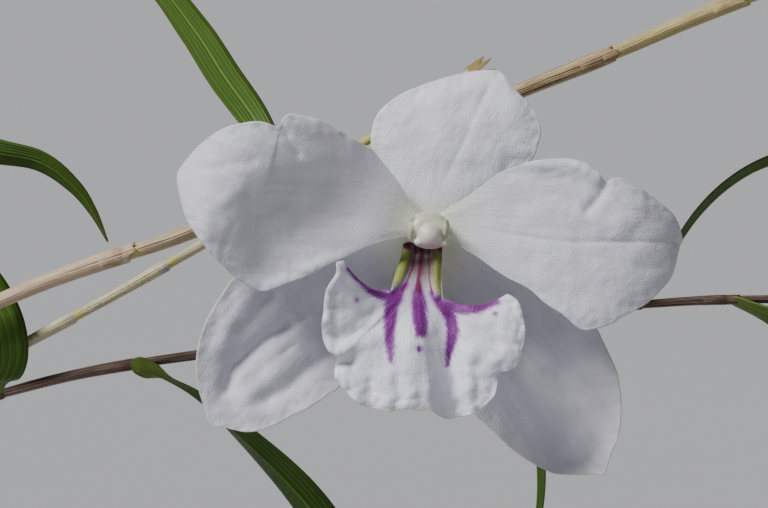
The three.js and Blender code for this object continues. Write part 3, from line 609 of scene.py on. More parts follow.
# Marks on the lip: paths of x, y and half-width
lipMarks = {
    "purple": [
        [(-1.2, -6.6, 0.25), (-1.2, -7.4, 0.55), (-1.1, -8.4, 0.75), (-1.0, -10.4, 0.72),
         (-0.95, -11.8, 0.45)],
        [(-1.2, -13.7, 0.16)],
        [(-2.7, -6.4, 0.2), (-3.5, -7.2, 0.55), (-4.0, -7.8, 0.85), (-4.4, -8.8, 0.72), (-4.5, -10.4, 0.62),
         (-4.6, -11.9, 0.45), (-4.5, -13.3, 0.36), (-4.3, -15.2, 0.08)],
        [(0.5, -7.4, 0.2), (1.2, -8.4, 0.34), (2.1, -9.2, 0.55), (2.7, -10.2, 0.62), (2.9, -11.6, 0.62),
         (2.7, -12.8, 0.55), (2.4, -13.9, 0.42), (2.1, -15.6, 0.1)],
        [(1.4, -8.5, 0.4), (2.8, -8.9, 0.52), (4.4, -9.05, 0.56), (5.9, -8.95, 0.48), (7.1, -8.55, 0.34),
         (8.0, -8.2, 0.16)],
        [(-4.5, -7.8, 0.45), (-5.9, -7.4, 0.4), (-6.9, -6.8, 0.34), (-7.9, -5.95, 0.28), (-8.8, -5.0, 0.2),
         (-9.4, -4.3, 0.1)],
        [(-8.5, -8.0, 0.02)],
        [(7.8, -9.7, 0.02)],
        [(6.5, -9.3, 0.02)],
    ],
    "green": [
        [(-2.4, -1.2, 0.38), (-2.68, -2.7, 0.46), (-3.2, -4.6, 0.5), (-3.8, -5.8, 0.46), (-4.6, -6.5, 0.32),
         (-5.5, -6.8, 0.14)],
        [(1.4, -1.4, 0.36), (1.4, -2.8, 0.42), (1.2, -4.6, 0.46), (1.12, -6.0, 0.44), (1.25, -7.4, 0.3),
         (1.5, -8.1, 0.1)],
    ],
    "wine": [
        [(-1.3, -0.8, 0.2), (-1.5, -2.6, 0.16), (-1.9, -4.5, 0.12), (-2.5, -5.9, 0.12), (-3.1, -7.0, 0.16)],
        [(-0.6, -0.8, 0.2), (-0.8, -2.8, 0.2), (-0.95, -4.4, 0.2), (-1.15, -5.7, 0.18), (-1.2, -7.0, 0.3)],
        [(0.2, -0.8, 0.16), (0.2, -3.4, 0.12), (0.25, -5.8, 0.1), (0.6, -7.4, 0.16)],
        [(-2.5, -0.3, 0.6), (-2.45, -1.9, 0.28)],
        [(1.5, -0.6, 0.55), (1.5, -2.3, 0.24)],
    ],
}
markEdges = {
    "purple": {"wider": 0.15, "soft": 0.55},
    "green": {"wider": 0.0, "soft": 0.24},
    "wine": {"wider": 0.0, "soft": 0.13},
}
lipFinish = {
    "white": (0.83, 0.83, 0.93, 1),
    "shade": (0.70, 0.69, 0.82, 1),
    "purple": (0.16, 0.009, 0.185, 1),
    "purpleEdge": (0.36, 0.09, 0.44, 1),
    "green": (0.16, 0.25, 0.016, 1),
    "yellow": (0.37, 0.39, 0.07, 1),
    "wine": (0.13, 0.008, 0.055, 1),
    # claw: the claw's own pinkish grey, darkened with painted shade of the throat under the column
    "claw": (0.165, 0.13, 0.115, 1),
}


def lipMaterial():
    material, tree, shader = newMaterial(
        "lipSkin", Subsurface_Weight=0.25, Subsurface_Scale=0.0010, Specular_IOR_Level=0.35,
        Subsurface_Radius=(1.0, 0.9, 0.95), Sheen_Weight=0.12, Sheen_Roughness=0.4)
    place = objectPlace(tree)
    lay = attribute(tree, "lay", "Vector")
    skin = useGroup(tree, crystalSkin, Place=place, Lay=lay, VeinScale=1.5)
    # marks have edges that feather across the veins
    streaks = addNode(tree, "ShaderNodeVectorMath", {0: lay, 1: (3.4, 0.5, 1.0)}, operation="MULTIPLY")
    barbs = clouds(tree, streaks.outputs[0], 1.2, 4.0, 0.65)
    specks = clouds(tree, lay, 3.0, 3.0, 0.6)
    shake = calc(tree, "MULTIPLY_ADD", barbs, 1.0, calc(tree, "MULTIPLY_ADD", specks, 0.6, -0.8))
    purple = calc(tree, "ADD", attribute(tree, "purple"), shake)
    core = spread(tree, purple, 0.36, 0.92)
    halo = spread(tree, purple, 0.02, 0.66)
    colour = blend(tree, spread(tree, skin["Veins"], 0.45, 0.72, 0.0, 0.45),
                   lipFinish["white"], lipFinish["shade"])
    # painted shade: the claw and throat take the dark claw colour, fading out onto the fan
    colour = blend(tree, spread(tree, attribute(tree, "clawShare"), 0.66, 1.24),
                   lipFinish["claw"], colour)
    ridge = blend(tree, spread(tree, specks, 0.36, 0.66), lipFinish["green"], lipFinish["yellow"])
    # painted shade: the ridges darken into the claw colour towards the throat
    throat = spread(tree, attribute(tree, "clawShare"), 0.12, 0.42, 0.75, 0.0)
    ridge = blend(tree, throat, ridge, lipFinish["claw"])
    colour = blend(tree, calc(tree, "MULTIPLY", attribute(tree, "green"), 0.92), colour, ridge)
    colour = blend(tree, calc(tree, "MULTIPLY", halo, 0.85), colour, lipFinish["purpleEdge"])
    colour = blend(tree, core, colour, lipFinish["purple"])
    colour = blend(tree, attribute(tree, "wine"), colour, lipFinish["wine"])
    wire(tree, shader, Base_Color=colour,
         Roughness=spread(tree, skin["Sparkle"], 0.0, 0.8, 0.38, 0.6),
         Normal=bumpFrom(tree, skin["Height"], petalFinish["grain"], 0.8))
    return material


def lipGrid():
    rows = lip["clawRows"] + lip["fanRows"] + 1
    across = np.linspace(0, 1, lip["columns"] + 1)
    u = (2 * across - 1)[None, :]
    clawShare = np.clip(np.arange(rows) / lip["clawRows"], 0, 1)
    fanShare = np.clip((np.arange(rows) - lip["clawRows"]) / lip["fanRows"], 0, 1)[:, None]
    claw = np.repeat(smoothPath(lip["clawMiddle"])(clawShare)[:, None], len(across), 1)
    c = clawShare[:, None]
    claw[..., 0] += u * throughHeights(lip["clawHalfWidth"])(clawShare)[:, None]
    claw[..., 1] += lip["throatDrop"] * u * c
    hollow = lip["clawHollow"] * np.sin(np.pi * np.clip(c, 0, 1)) * (1 - fanShare)
    claw[..., 2] -= hollow * (1 - np.abs(u) ** 3)
    margin = EvenPath([(x, y, 0) for x, y in lip["margin"]])(across)[None]
    grid = claw * (1 - fanShare[..., None]) + margin * fanShare[..., None]
    depth = throughHeights(lip["marginDepth"])(across)[None]
    grid[..., 2] = claw[..., 2] * (1 - fanShare) + depth * fanShare
    bow = 4 * fanShare * (1 - fanShare)
    grid[..., 1] -= bow * lip["edgeSag"] * u**4
    grid[..., 2] += lip["fanBow"] * np.sin(np.pi * fanShare) * (1 - u * u)
    x, y = grid[..., 0], grid[..., 1]
    free = ease(0.05, 0.35, fanShare)
    grid[..., 2] += folded(x, y, lip["folds"]) * free + folded(x, y, lip["ridges"])
    wave = lumps(x, y, 0.5, (0, 0, 9.0))
    fine = lumps(x, y, 0.9, (0, 0, 5.0))
    outer = ease(0.66, 1.0, fanShare)
    grid[..., 2] += free * (lip["swell"] * wave + lip["pucker"] * fine) + lip["marginWave"] * outer * fine
    grid[..., 2] += lip["ruffle"] * ease(0.8, 1.0, fanShare) * lumps(x, y, 1.4, (0, 0, 2.0))
    values = {"clawShare": np.repeat(c, len(across), 1) + fanShare}
    for key, strokes in lipMarks.items():
        gap = np.full(x.shape, 1e9)
        for stroke in strokes:
            gap = np.minimum(gap, nearStroke(x, y, stroke))
        soft = markEdges[key]["soft"]
        values[key] = 1 - ease(-soft, soft, gap - markEdges[key]["wider"])
    values["green"] = values["green"] * (1 - 0.7 * ease(0.08, 0.3, fanShare))
    radius = np.hypot(x + 1.2, y + 5.0)
    values["lay"] = np.stack([u * 10 + 0 * x, radius, 0 * x + 2.0], -1)
    edge = np.maximum(ease(0.95, 1.0, fanShare), ease(0.96, 1.0, np.abs(u)) + 0 * x)
    thickness = lip["thickness"] * (1 - edge) + lip["edge"] * edge
    return grid, thickness, values


def makeLip():
    grid, thickness, values = lipGrid()
    finishPiece(addSheet("lip_bloom", grid, thickness, lipMaterial(), values), "lip", "lip")


makeLip()
print("stage: lip made")

# Column: hood, cap, teeth and foot in one skin, with the ovary and stalk behind it

column = {
    "stalk": [
        (1.9, 12.4, -10.6, 0.55, 0.55), (1.5, 9.6, -9.8, 0.6, 0.6), (0.8, 6.4, -8.8, 0.75, 0.75),
        (0.2, 3.6, -7.2, 1.1, 1.1), (0.0, 1.4, -4.6, 1.3, 1.2), (0.0, 0.6, -2.2, 1.7, 1.5),
    ],
    "hood": [
        (0.0, 1.4, -4.6, 1.3, 1.2), (0.0, 0.6, -2.2, 1.9, 1.5), (-0.05, 0.6, 0.4, 2.35, 1.75),
        (0.0, 0.55, 2.4, 2.45, 1.8), (0.05, 0.6, 3.3, 2.2, 1.5), (0.1, 0.7, 3.9, 1.6, 0.95),
    ],
    "foot": [
        (0, 0.3, -2.4, 1.3, 0.7), (-0.1, -0.3, -4.6, 1.2, 0.6), (-0.2, -1.2, -7.4, 1.1, 0.6),
        (-0.3, -2.2, -9.8, 0.9, 0.6),
    ],
    "cap": {"at": (0.2, -0.5, 3.3), "size": (1.5, 1.5, 1.6)},
    "blobs": [
        {"at": (-0.95, -1.2, 3.3), "size": (0.75, 0.62, 0.9)},
        {"at": (1.2, -1.2, 3.3), "size": (0.75, 0.62, 0.9)},
        {"at": (-2.0, 0.2, 2.9), "size": (0.55, 1.4, 1.1)},
        {"at": (2.05, 0.2, 2.9), "size": (0.5, 1.4, 1.1)},
        {"at": (1.85, -1.5, 3.7), "size": (0.42, 0.42, 0.45)},
        {"at": (0.2, -1.75, 3.55), "size": (1.2, 0.3, 0.5)},
    ],
    "cell": 0.11,
    "smoothing": 22,
}
columnFinish = {
    "white": (0.66, 0.67, 0.54, 1),
    # green: the column's own green tint, also used as painted shade on the hood's sides
    "green": (0.20, 0.225, 0.11, 1),
    "blushAndShade": (0.44, 0.29, 0.26, 1),
    "cap": (0.64, 0.59, 0.54, 1),
    "stalk": (0.46, 0.48, 0.22, 1),
}


def ovalTube(stations, sides=36, steps=60):
    data = smoothPath(stations)(np.linspace(0, 1, steps))
    tangent = unit(np.gradient(data[:, :3], axis=0))
    beside = unit(np.array([1.0, 0, 0]) - tangent * tangent[:, :1])
    above = np.cross(tangent, beside)
    turn = np.linspace(0, 2 * np.pi, sides, endpoint=False)
    ring = (data[:, None, :3] + beside[:, None] * data[:, None, 3:4] * np.cos(turn)[None, :, None]
            + above[:, None] * data[:, None, 4:5] * np.sin(turn)[None, :, None])
    last = (steps - 1) * sides
    ends = [tuple(range(sides))[::-1], tuple(range(last, last + sides))]
    return ring.reshape(-1, 3), bands(0, steps, sides) + ends


def blob(at, size, rings=20, sides=28):
    points = []
    for i in range(1, rings):
        a = math.pi * i / rings
        for j in range(sides):
            b = 2 * math.pi * j / sides
            points.append((at[0] + size[0] * math.sin(a) * math.cos(b),
                           at[1] + size[1] * math.sin(a) * math.sin(b), at[2] + size[2] * math.cos(a)))
    top, low = len(points), len(points) + 1
    points += [(at[0], at[1], at[2] + size[2]), (at[0], at[1], at[2] - size[2])]
    faces = bands(0, rings - 1, sides, inward=True)
    for j in range(sides):
        k = (j + 1) % sides
        faces.append((top, j, k))
        faces.append((low, (rings - 2) * sides + k, (rings - 2) * sides + j))
    return np.array(points), faces


def columnMaterial():
    material, tree, shader = newMaterial(
        "columnWax", Subsurface_Weight=0.3, Subsurface_Scale=0.0010, Coat_Weight=0.15, Coat_Roughness=0.3)
    place = objectPlace(tree)
    grain = clouds(tree, place, 1500.0, 3.0)
    colour = blend(tree, attribute(tree, "cap"), columnFinish["white"], columnFinish["cap"])
    # the green mask carries the column's own green tint and painted shade on the hood's sides
    green = calc(tree, "MULTIPLY", attribute(tree, "greenTintAndShade"), spread(tree, grain, 0.3, 0.7, 0.5, 1.0))
    colour = blend(tree, green, colour, columnFinish["green"])
    # brownish pink at the lower front: the cap rim's own colour with painted shade along its lower edge
    colour = blend(tree, attribute(tree, "blushAndShade"), colour, columnFinish["blushAndShade"])
    colour = blend(tree, attribute(tree, "stalk"), colour, columnFinish["stalk"])
    wire(tree, shader, Base_Color=colour, Roughness=spread(tree, grain, 0.3, 0.7, 0.36, 0.52),
         Normal=bumpFrom(tree, grain, 0.00006, 0.7))
    return material


def makeColumn():
    points, faces = [], []
    parts = [ovalTube(column[key]) for key in ("stalk", "hood", "foot")]
    parts.append(blob(column["cap"]["at"], column["cap"]["size"]))
    parts += [blob(b["at"], b["size"]) for b in column["blobs"]]
    for some, ring in parts:
        start = len(points)
        points += [tuple(p) for p in some]
        faces += [tuple(i + start for i in face) for face in ring]
    # the skin is made at a thousand times its size, where its cells are not too small to cut
    rough = addMesh("columnRough", np.array(points) / mm, faces, petalWhite)
    skin = rough.modifiers.new("skin", "REMESH")
    skin.mode = "VOXEL"
    skin.voxel_size = column["cell"]
    even = rough.modifiers.new("even", "SMOOTH")
    even.factor = 0.5
    even.iterations = column["smoothing"]
    mesh = evaluated(rough)
    at = np.zeros(len(mesh.vertices) * 3)
    mesh.vertices.foreach_get("co", at)
    at = at.reshape(-1, 3)
    bpy.data.objects.remove(rough)
    x, y, z = at.T
    capAt = np.array(column["cap"]["at"])
    inCap = np.linalg.norm((at - capAt) / np.array(column["cap"]["size"]), axis=1)
    side = ease(1.35, 1.9, np.abs(x)) * ease(0.8, 2.0, z)
    patch = np.exp(-(((x - 0.35) / 0.5) ** 2 + ((y - 0.55) / 0.3) ** 2)) * ease(3.4, 4.0, z)
    low = 1 - ease(-1.8, -1.0, y)
    values = {
        "cap": 1 - ease(1.0, 1.15, inCap),
        # the hood's sides take painted shade in dark green; the top and a patch on the cap take the column's
        # own green tint
        "greenTintAndShade": np.clip(0.85 * side * ease(-1.4, -0.4, y) + 0.5 * ease(0.9, 1.9, y) * ease(0.6, 2.6, z)
                            + 0.35 * patch, 0, 1),
        # the cap rim's own brownish pink, with painted shade along the lower edge
        "blushAndShade": np.clip(low * ease(2.2, 3.0, z), 0, 1) * 0.85,
        "stalk": 1 - ease(-7.4, -4.6, z),
    }
    faces = [tuple(p.vertices) for p in mesh.polygons]
    piece = addMesh("column_wax", toWorld(at), faces, columnMaterial(), values)
    bpy.data.meshes.remove(mesh)
    finishPiece(piece, "column", "column")


makeColumn()
print("stage: column made")

# Sweeps: a spine of points, each with a radius and the way its section's width runs, carries one section

def makeSweepTree():
    tree = bpy.data.node_groups.new("sweepAlong", "GeometryNodeTree")
    tree.is_modifier = True
    for label, kind in (("Spines", "NodeSocketGeometry"), ("Section", "NodeSocketObject"),
                        ("Finish", "NodeSocketMaterial")):
        tree.interface.new_socket(label, in_out="INPUT", socket_type=kind)
    tree.interface.new_socket("Swept", in_out="OUTPUT", socket_type="NodeSocketGeometry")
    start = tree.nodes.new("NodeGroupInput")
    end = tree.nodes.new("NodeGroupOutput")

    def named(name, kind="FLOAT"):
        node = addNode(tree, "GeometryNodeInputNamedAttribute", {"Name": name}, data_type=kind)
        return node.outputs[0]

    spine = addNode(tree, "GeometryNodeMeshToCurve", {"Mesh": start.outputs["Spines"]})
    facing = addNode(tree, "GeometryNodeSetCurveNormal",
                     {"Curve": spine.outputs[0], "Normal": named("wide", "FLOAT_VECTOR")}, mode="FREE")
    section = addNode(tree, "GeometryNodeObjectInfo", {"Object": start.outputs["Section"]})
    outline = addNode(tree, "GeometryNodeMeshToCurve", {"Mesh": section.outputs["Geometry"]})
    place = addNode(tree, "GeometryNodeInputPosition")
    marked = addNode(tree, "GeometryNodeStoreNamedAttribute",
                     {"Geometry": outline.outputs[0], "Name": "section", "Value": place.outputs[0]},
                     data_type="FLOAT_VECTOR", domain="POINT")
    swept = addNode(tree, "GeometryNodeCurveToMesh", {
        "Curve": facing.outputs[0], "Profile Curve": marked.outputs[0],
        "Scale": named("radius"), "Fill Caps": True,
    })
    whole = addNode(tree, "GeometryNodeRealizeInstances", {0: swept.outputs[0]})
    painted = addNode(tree, "GeometryNodeSetMaterial",
                      {"Geometry": whole.outputs[0], "Material": start.outputs["Finish"]})
    tree.links.new(painted.outputs[0], end.inputs[0])
    return tree


sweepAlong = makeSweepTree()


def setInput(modifier, tree, label, value):
    for item in tree.interface.items_tree:
        if item.item_type == "SOCKET" and item.in_out == "INPUT" and item.name == label:
            modifier[item.identifier] = value


# each wave of a ring is its step from point to point, in radians, and its depth
sections = {
    "ribbed": {"sides": 28, "waves": [(2.4, 0.045), (5.1, 0.02)]},
    "plain": {"sides": 14, "waves": [(2.4, 0.02)]},
    "blade": {"fold": 0.16, "thick": 0.14, "ribWidth": 0.12, "steps": 9},
}


def closedLine(name, points):
    n = len(points)
    mesh = bpy.data.meshes.new(name)
    mesh.from_pydata([(x, y, 0) for x, y in points], [(i, (i + 1) % n) for i in range(n)], [])
    return bpy.data.objects.new(name, mesh)


def ringSection(name, sides, waves):
    points = []
    for i in range(sides):
        r = 1.0 + sum(depth * math.sin(i * step) for step, depth in waves)
        a = 2 * math.pi * i / sides
        points.append((r * math.cos(a), r * math.sin(a)))
    return closedLine(name, points)


def bladeSection(name, fold, thick, ribWidth, steps):
    # a shallow V with a rounded midrib, from one margin to the other and back
    def skin(x, way, rib):
        swell = 0.5 * thick * (1 - x * x) * (1 + rib * math.exp(-((x / ribWidth) ** 2)))
        return x, -(fold * abs(x) + way * swell)

    above = [skin(x, 1, -0.5) for x in np.linspace(-1, 1, steps)]
    below = [skin(x, -1, 0.9) for x in np.linspace(1, -1, steps)[1:-1]]
    return closedLine(name, above + below)


def acrossOf(points, side):
    # the way the width runs at each station: along side, or else level with the ground and untwisted
    tangent = unit(np.gradient(points, axis=0))
    if side is None:
        wide = np.zeros_like(tangent)
        wide[0] = (-tangent[0, 1], tangent[0, 0], 0) if np.hypot(*tangent[0, :2]) > 1e-3 else (1, 0, 0)
        for i in range(len(wide)):
            before = wide[max(i - 1, 0)]
            wide[i] = unit(before - tangent[i] * np.dot(before, tangent[i]))
        return wide
    return unit(side - tangent * np.sum(side * tangent, axis=1, keepdims=True))


def sweep(name, spines, section, material):
    # each spine is a dictionary of points (mm), radius (mm), share, tone and along, with or without side
    points, edges = [], []
    values = {"radius": [], "share": [], "tone": [], "along": [], "wide": []}
    for spine in spines:
        start = len(points)
        n = len(spine["points"])
        points += [tuple(p) for p in np.asarray(spine["points"]) * mm]
        edges += [(start + i, start + i + 1) for i in range(n - 1)]
        values["wide"] += list(acrossOf(np.asarray(spine["points"]), spine.get("side")))
        values["radius"] += list(np.asarray(spine["radius"]) * mm)
        for key in ("share", "tone", "along"):
            values[key] += list(np.broadcast_to(spine[key], n))
    mesh = bpy.data.meshes.new(name + "Spines")
    mesh.from_pydata(points, edges, [])
    storeValues(mesh, values)
    holder = addObject(name + "Spines", mesh)
    modifier = holder.modifiers.new("sweep", "NODES")
    modifier.node_group = sweepAlong
    setInput(modifier, sweepAlong, "Section", section)
    setInput(modifier, sweepAlong, "Finish", material)
    made = evaluated(holder)
    holder.modifiers.clear()
    bpy.data.objects.remove(holder)
    made.name = name
    made.shade_smooth()
    return addObject(name, made)


# Canes and leaves, by the same rules as the solids

pot = {"height": 92, "footRadius": 37, "shoulderRadius": 49.5, "shoulderHeight": 66, "rimRadius": 54,
       "wall": 4.5, "floor": 6, "drainHoles": 3, "drainRadius": 4.5, "drainRing": 20, "drainTurn": 30}
mix = {"top": 82, "relief": 2.6, "dome": 2.2, "domeWidth": 30}
clump = {"spacing": 6.5, "goldenAngle": 137.5, "rootedAt": 70, "straightTo": (88, 97), "upright": 86,
         "bends": 8, "bending": 1.3}
caneShape = {"footRadius": 2.3, "footLength": 34, "footSteps": 12, "waist": 0.9, "belly": 0.1, "neck": 0.16,
             "step": 0.3, "radius": 1.05, "internode": 19.5, "taper": 0.28,
             "stations": (0, 0.03, 0.08, 0.16, 0.28, 0.42, 0.56, 0.7, 0.82, 0.91, 0.965, 1)}

canes = [
    {
        "name": "cane_bearing", "radius": 1.12, "finish": "tan",
        "rise": [(16, -3, 150), (42, -6, 206), (81, -7, 245)],
        "seen": [(-51.5, -8.2, -12), (-28, 0.3, -12), (-8, 9.2, -12), (10.5, 16.8, -12),
                 (21.4, 21.2, -12), (37.8, 28.1, -12), (55, 34, -13), (71, 37, -14)],
        "jointsSeen": [-56.5, -36.8, -15.5, 1.9, 21.5], "leavesFrom": 0.9,
        "toneEnds": [(-36.8, 0.12), (1.9, 0.36), (21.5, 1.0), (300, -0.1)],
        "handLeaves": [
            {"at": -15.5, "halfWidth": 2.1, "tone": 0.6,
             "wideFrom": (0.9, 0.3, -0.2), "wideTo": (0.7, 0.7, 0.1),
             "points": [(-18.4, 9.4, -15), (-21.4, 14.4, -18), (-24.9, 19.3, -20), (-28.6, 25, -22),
                        (-33.6, 31, -24), (-40.6, 34.6, -27)]},
        ],
    },
    {
        "name": "cane_bare", "radius": 0.82, "internode": 13.4, "finish": "pale", "bracts": True,
        "rise": [(4, 4, 145), (33, 2, 199), (77, -3, 234)],
        "seen": [(-52.4, -15.3, -17.4), (-27.3, -1.35, -17), (-7.7, 11, -17), (5.6, 19.6, -17)],
        "jointsSeen": [-43.2, -31.6, -19.6, -8.2], "toneEnds": [(300, 0.1)], "sheaths": False,
    },
    {"name": "cane_front_left", "lean": 278, "length": 215, "tipRise": 34, "curl": 16, "leavesFrom": 0.42},
    {
        "name": "cane_low", "radius": 0.9, "taper": 0.5, "finish": "dark",
        "rise": [(12, 9, 140), (38, 6, 190), (79, 4, 228)],
        "seen": [(-66, -24.0, -22), (-53, -20.0, -22), (-36, -16.2, -22), (0.2, -11.6, -22),
                 (27.5, -8.8, -22), (42.1, -8.2, -22), (60, -8.5, -23), (78, -11, -24), (93, -16, -25)],
        "jointsSeen": [-54, -36, -15, 6, 26.2, 37.6, 56, 74], "toneEnds": [(10, 0.9), (300, 1.2)],
        # each listed leaf's tone is its age together with painted shade; the lowest tones darken leaves that
        # lie in shade
        "handLeaves": [
            {"at": -36, "halfWidth": 3.0, "tone": 0.05, "wideBase": (-0.3, 0.95, 0.1),
             "wideFrom": (0.04, 0.08, 0.99), "wideTo": (0.85, 0.4, 0.1), "start": (-36.5, -16.1, -20.6),
             "points": [(-35.2, -16.5, -20.5), (-33.2, -17.5, -20.9), (-28.5, -20.2, -22.4),
                        (-22.2, -25.9, -25), (-16, -32.3, -27), (-11.6, -38.5, -29), (-9.2, -45, -31),
                        (-8.4, -52, -32)]},
            {"at": -54, "halfWidth": 4.5, "tone": 0.35,
             "wideFrom": (0.98, 0.2, 0), "wideTo": (0.45, 0.88, 0),
             "points": [(-54, -18.9, -19.0), (-53.4, -17.7, -16.6), (-52.8, -14.6, -15.2),
                        (-53.6, -11.0, -15), (-56.4, -6.4, -15.4), (-61.2, -2, -16.6), (-67.5, 1.2, -19.5)]},
            {"at": 6, "halfWidth": 2.2, "wideFrom": (0.3, 0.1, 0.9), "wideTo": (0.15, 0, 0.98),
             "points": [(9.5, -14.5, -20.5), (12.6, -21, -19.8), (13.8, -28, -19.6), (13.6, -35, -20),
                        (11.8, -43, -21)]},
            {"at": 26.2, "halfWidth": 2.2, "tone": 0.15,
             "wideFrom": (-0.2, 0.1, 0.98), "wideTo": (0.1, 0.5, 0.86),
             "points": [(29.6, -3.6, -21), (33.6, 2.2, -21), (37.9, 6.2, -21), (43, 8.8, -21.5),
                        (49.6, 10.2, -22), (56, 9.8, -23), (61.2, 7.6, -24)]},
            {"at": 37.6, "halfWidth": 3.2, "tone": 0.3,
             "wideFrom": (0.3, 0.4, 0.85), "wideTo": (0.8, 0.6, 0.2),
             "points": [(43.6, -11, -21), (50.4, -14.9, -20), (57, -20, -20), (62, -26, -20),
                        (65, -32, -20), (66.5, -38, -20)]},
            {"at": 74, "halfWidth": 3.2, "wideFrom": (0.1, 0.4, 0.85), "wideTo": (0.1, 0.5, 0.85),
             "points": [(82, -5, -20), (90, -2, -17), (99, -2, -15), (108, -5, -14), (114, -11, -14)]},
        ],
    },
    {"name": "cane_left", "lean": 192, "length": 300, "tipRise": 24, "curl": 10, "leavesFrom": 0.45},
    {"name": "shoot_right", "lean": 350, "length": 105, "tipRise": 52, "leavesFrom": 0.35, "finish": "green"},
    {"name": "cane_back", "lean": 100, "length": 310, "tipRise": 38, "curl": 12, "leavesFrom": 0.5},
    {"name": "cane_front", "lean": 236, "length": 250, "tipRise": 34, "curl": -14, "leavesFrom": 0.45},
    {
        "name": "cane_right", "lean": 20, "length": 285, "tipRise": 50, "curl": 30, "leavesFrom": 0.72,
        # tone also carries painted shade: this leaf lies in shade
        "handLeaves": [
            {"at": -107.5, "halfWidth": 2.3, "tone": 0.1,
             "wideFrom": (0.3, 0.7, 0.6), "wideTo": (0.8, 0.5, 0.2),
             "points": [(-98, 36, -60), (-84, 28, -58), (-70, 18, -54), (-58.5, 11.6, -50.5),
                        (-50.5, 9.6, -50), (-46, 6.4, -50), (-43.4, 3, -50), (-41.4, -1, -50)]},
        ],
    },
    {"name": "cane_bare_left", "lean": 158, "length": 250, "tipRise": 44, "curl": -18, "radius": 0.85,
     "internode": 14, "finish": "pale", "bracts": True},
    {"name": "shoot_front", "lean": 284, "length": 84, "tipRise": 60, "leavesFrom": 0.4, "finish": "green"},
    {"name": "cane_back_right", "lean": 66, "length": 275, "tipRise": 34, "curl": -8, "leavesFrom": 0.5},
    {"name": "cane_far_left", "lean": 214, "length": 210, "tipRise": 20, "curl": -12, "leavesFrom": 0.4},
]


def scatter(a, b):
    value = math.sin(a * 12.9898 + b * 78.233) * 43758.5453
    return value - math.floor(value)


def between(pair, share):
    # a pair is the least value and how much more it may be
    return pair[0] + pair[1] * share


def rootPoints(foot):
    return [(foot[0], foot[1], z) for z in (clump["rootedAt"], *clump["straightTo"])]


def clumpFoot(i):
    r = clump["spacing"] * math.sqrt(i + 0.5)
    turn = math.radians(i * clump["goldenAngle"])
    return r * math.cos(turn), r * math.sin(turn)


def routeOf(cane, index):
    points = rootPoints(clumpFoot(index))
    if "seen" in cane:
        return EvenPath([*points, *cane["rise"], *map(tuple, toWorld(cane["seen"]))])
    at = np.array(points[-1], float)
    bends, upright = clump["bends"], clump["upright"]
    stride = (cane["length"] - (at[2] - clump["rootedAt"])) / bends
    for i in range(bends):
        t = (i + 0.5) / bends
        rise = math.radians(upright + (cane["tipRise"] - upright) * t ** clump["bending"])
        heading = math.radians(cane["lean"] + cane.get("curl", 0) * t)
        at = at + stride * np.array([math.cos(rise) * math.cos(heading),
                                     math.cos(rise) * math.sin(heading), math.sin(rise)])
        points.append(tuple(at))
    return EvenPath(points)


def distanceAt(route, x):
    places = route(np.arange(1, 601) / 600)[:, 0]
    miss = np.abs(places - flowerPlace["at"][0] - x)
    best = len(miss) - 1 - int(np.argmin(miss[::-1]))
    return (best + 1) / 600 * route.length


def jointsOf(route, internode, jointsSeen):
    fixed = [caneShape["footLength"], *(distanceAt(route, x) for x in jointsSeen), route.length]
    joints = [fixed[0]]
    for a, b in zip(fixed, fixed[1:]):
        count = max(1, round((b - a) / internode))
        joints += [a + (b - a) * k / count for k in range(1, count + 1)]
    return joints


def caneSpine(route, radius, joints, toneAt, taper):
    places, radii, shares, tones = [], [], [], []
    foot = caneShape["footLength"]
    for s in np.linspace(0, 1, caneShape["footSteps"]):
        places.append(s * (foot - 1))
        swell = caneShape["footRadius"] * (0.8 + 0.2 * min(1, s * 3))
        radii.append(swell + (radius * 1.2 - swell) * float(ease(0.25, 1.0, s)))
        shares.append(0.5)
        tones.append(0.5)
    for number, (a, b) in enumerate(zip(joints, joints[1:])):
        slim = 1 - taper * a / route.length
        tone = toneAt(float(route((a + b) / 2 / route.length)[0]) - flowerPlace["at"][0], number)
        for s in caneShape["stations"]:
            places.append(a + (b - a - caneShape["step"]) * s)
            bulge = caneShape["belly"] * ease(0, 0.4, s) + caneShape["neck"] * ease(0.45, 1, s)
            radii.append(radius * slim * (caneShape["waist"] + bulge))
            shares.append(s)
            tones.append(tone)
    places = np.array(places)
    points = route(np.clip(places / route.length, 0, 1))
    return {"points": points, "radius": radii, "share": shares, "tone": tones, "along": places}


def toneRule(cane, index):
    # how aged and striped each internode is, below zero where it is fresh: by place, or else scattered
    def toneAt(x, number):
        for end, tone in cane.get("toneEnds", []):
            if x < end:
                return tone
        return 0.25 + 0.6 * scatter(index + 1, number + 31)

    return toneAt


mouth = {"below": 3.2, "above": 0.9, "onward": 3, "slant": 0.7, "ragged": 0.3, "snug": 1.17, "flare": 1.2,
         "dent": 0.05, "skin": 0.12, "sides": 40, "rings": 9, "stations": 24}


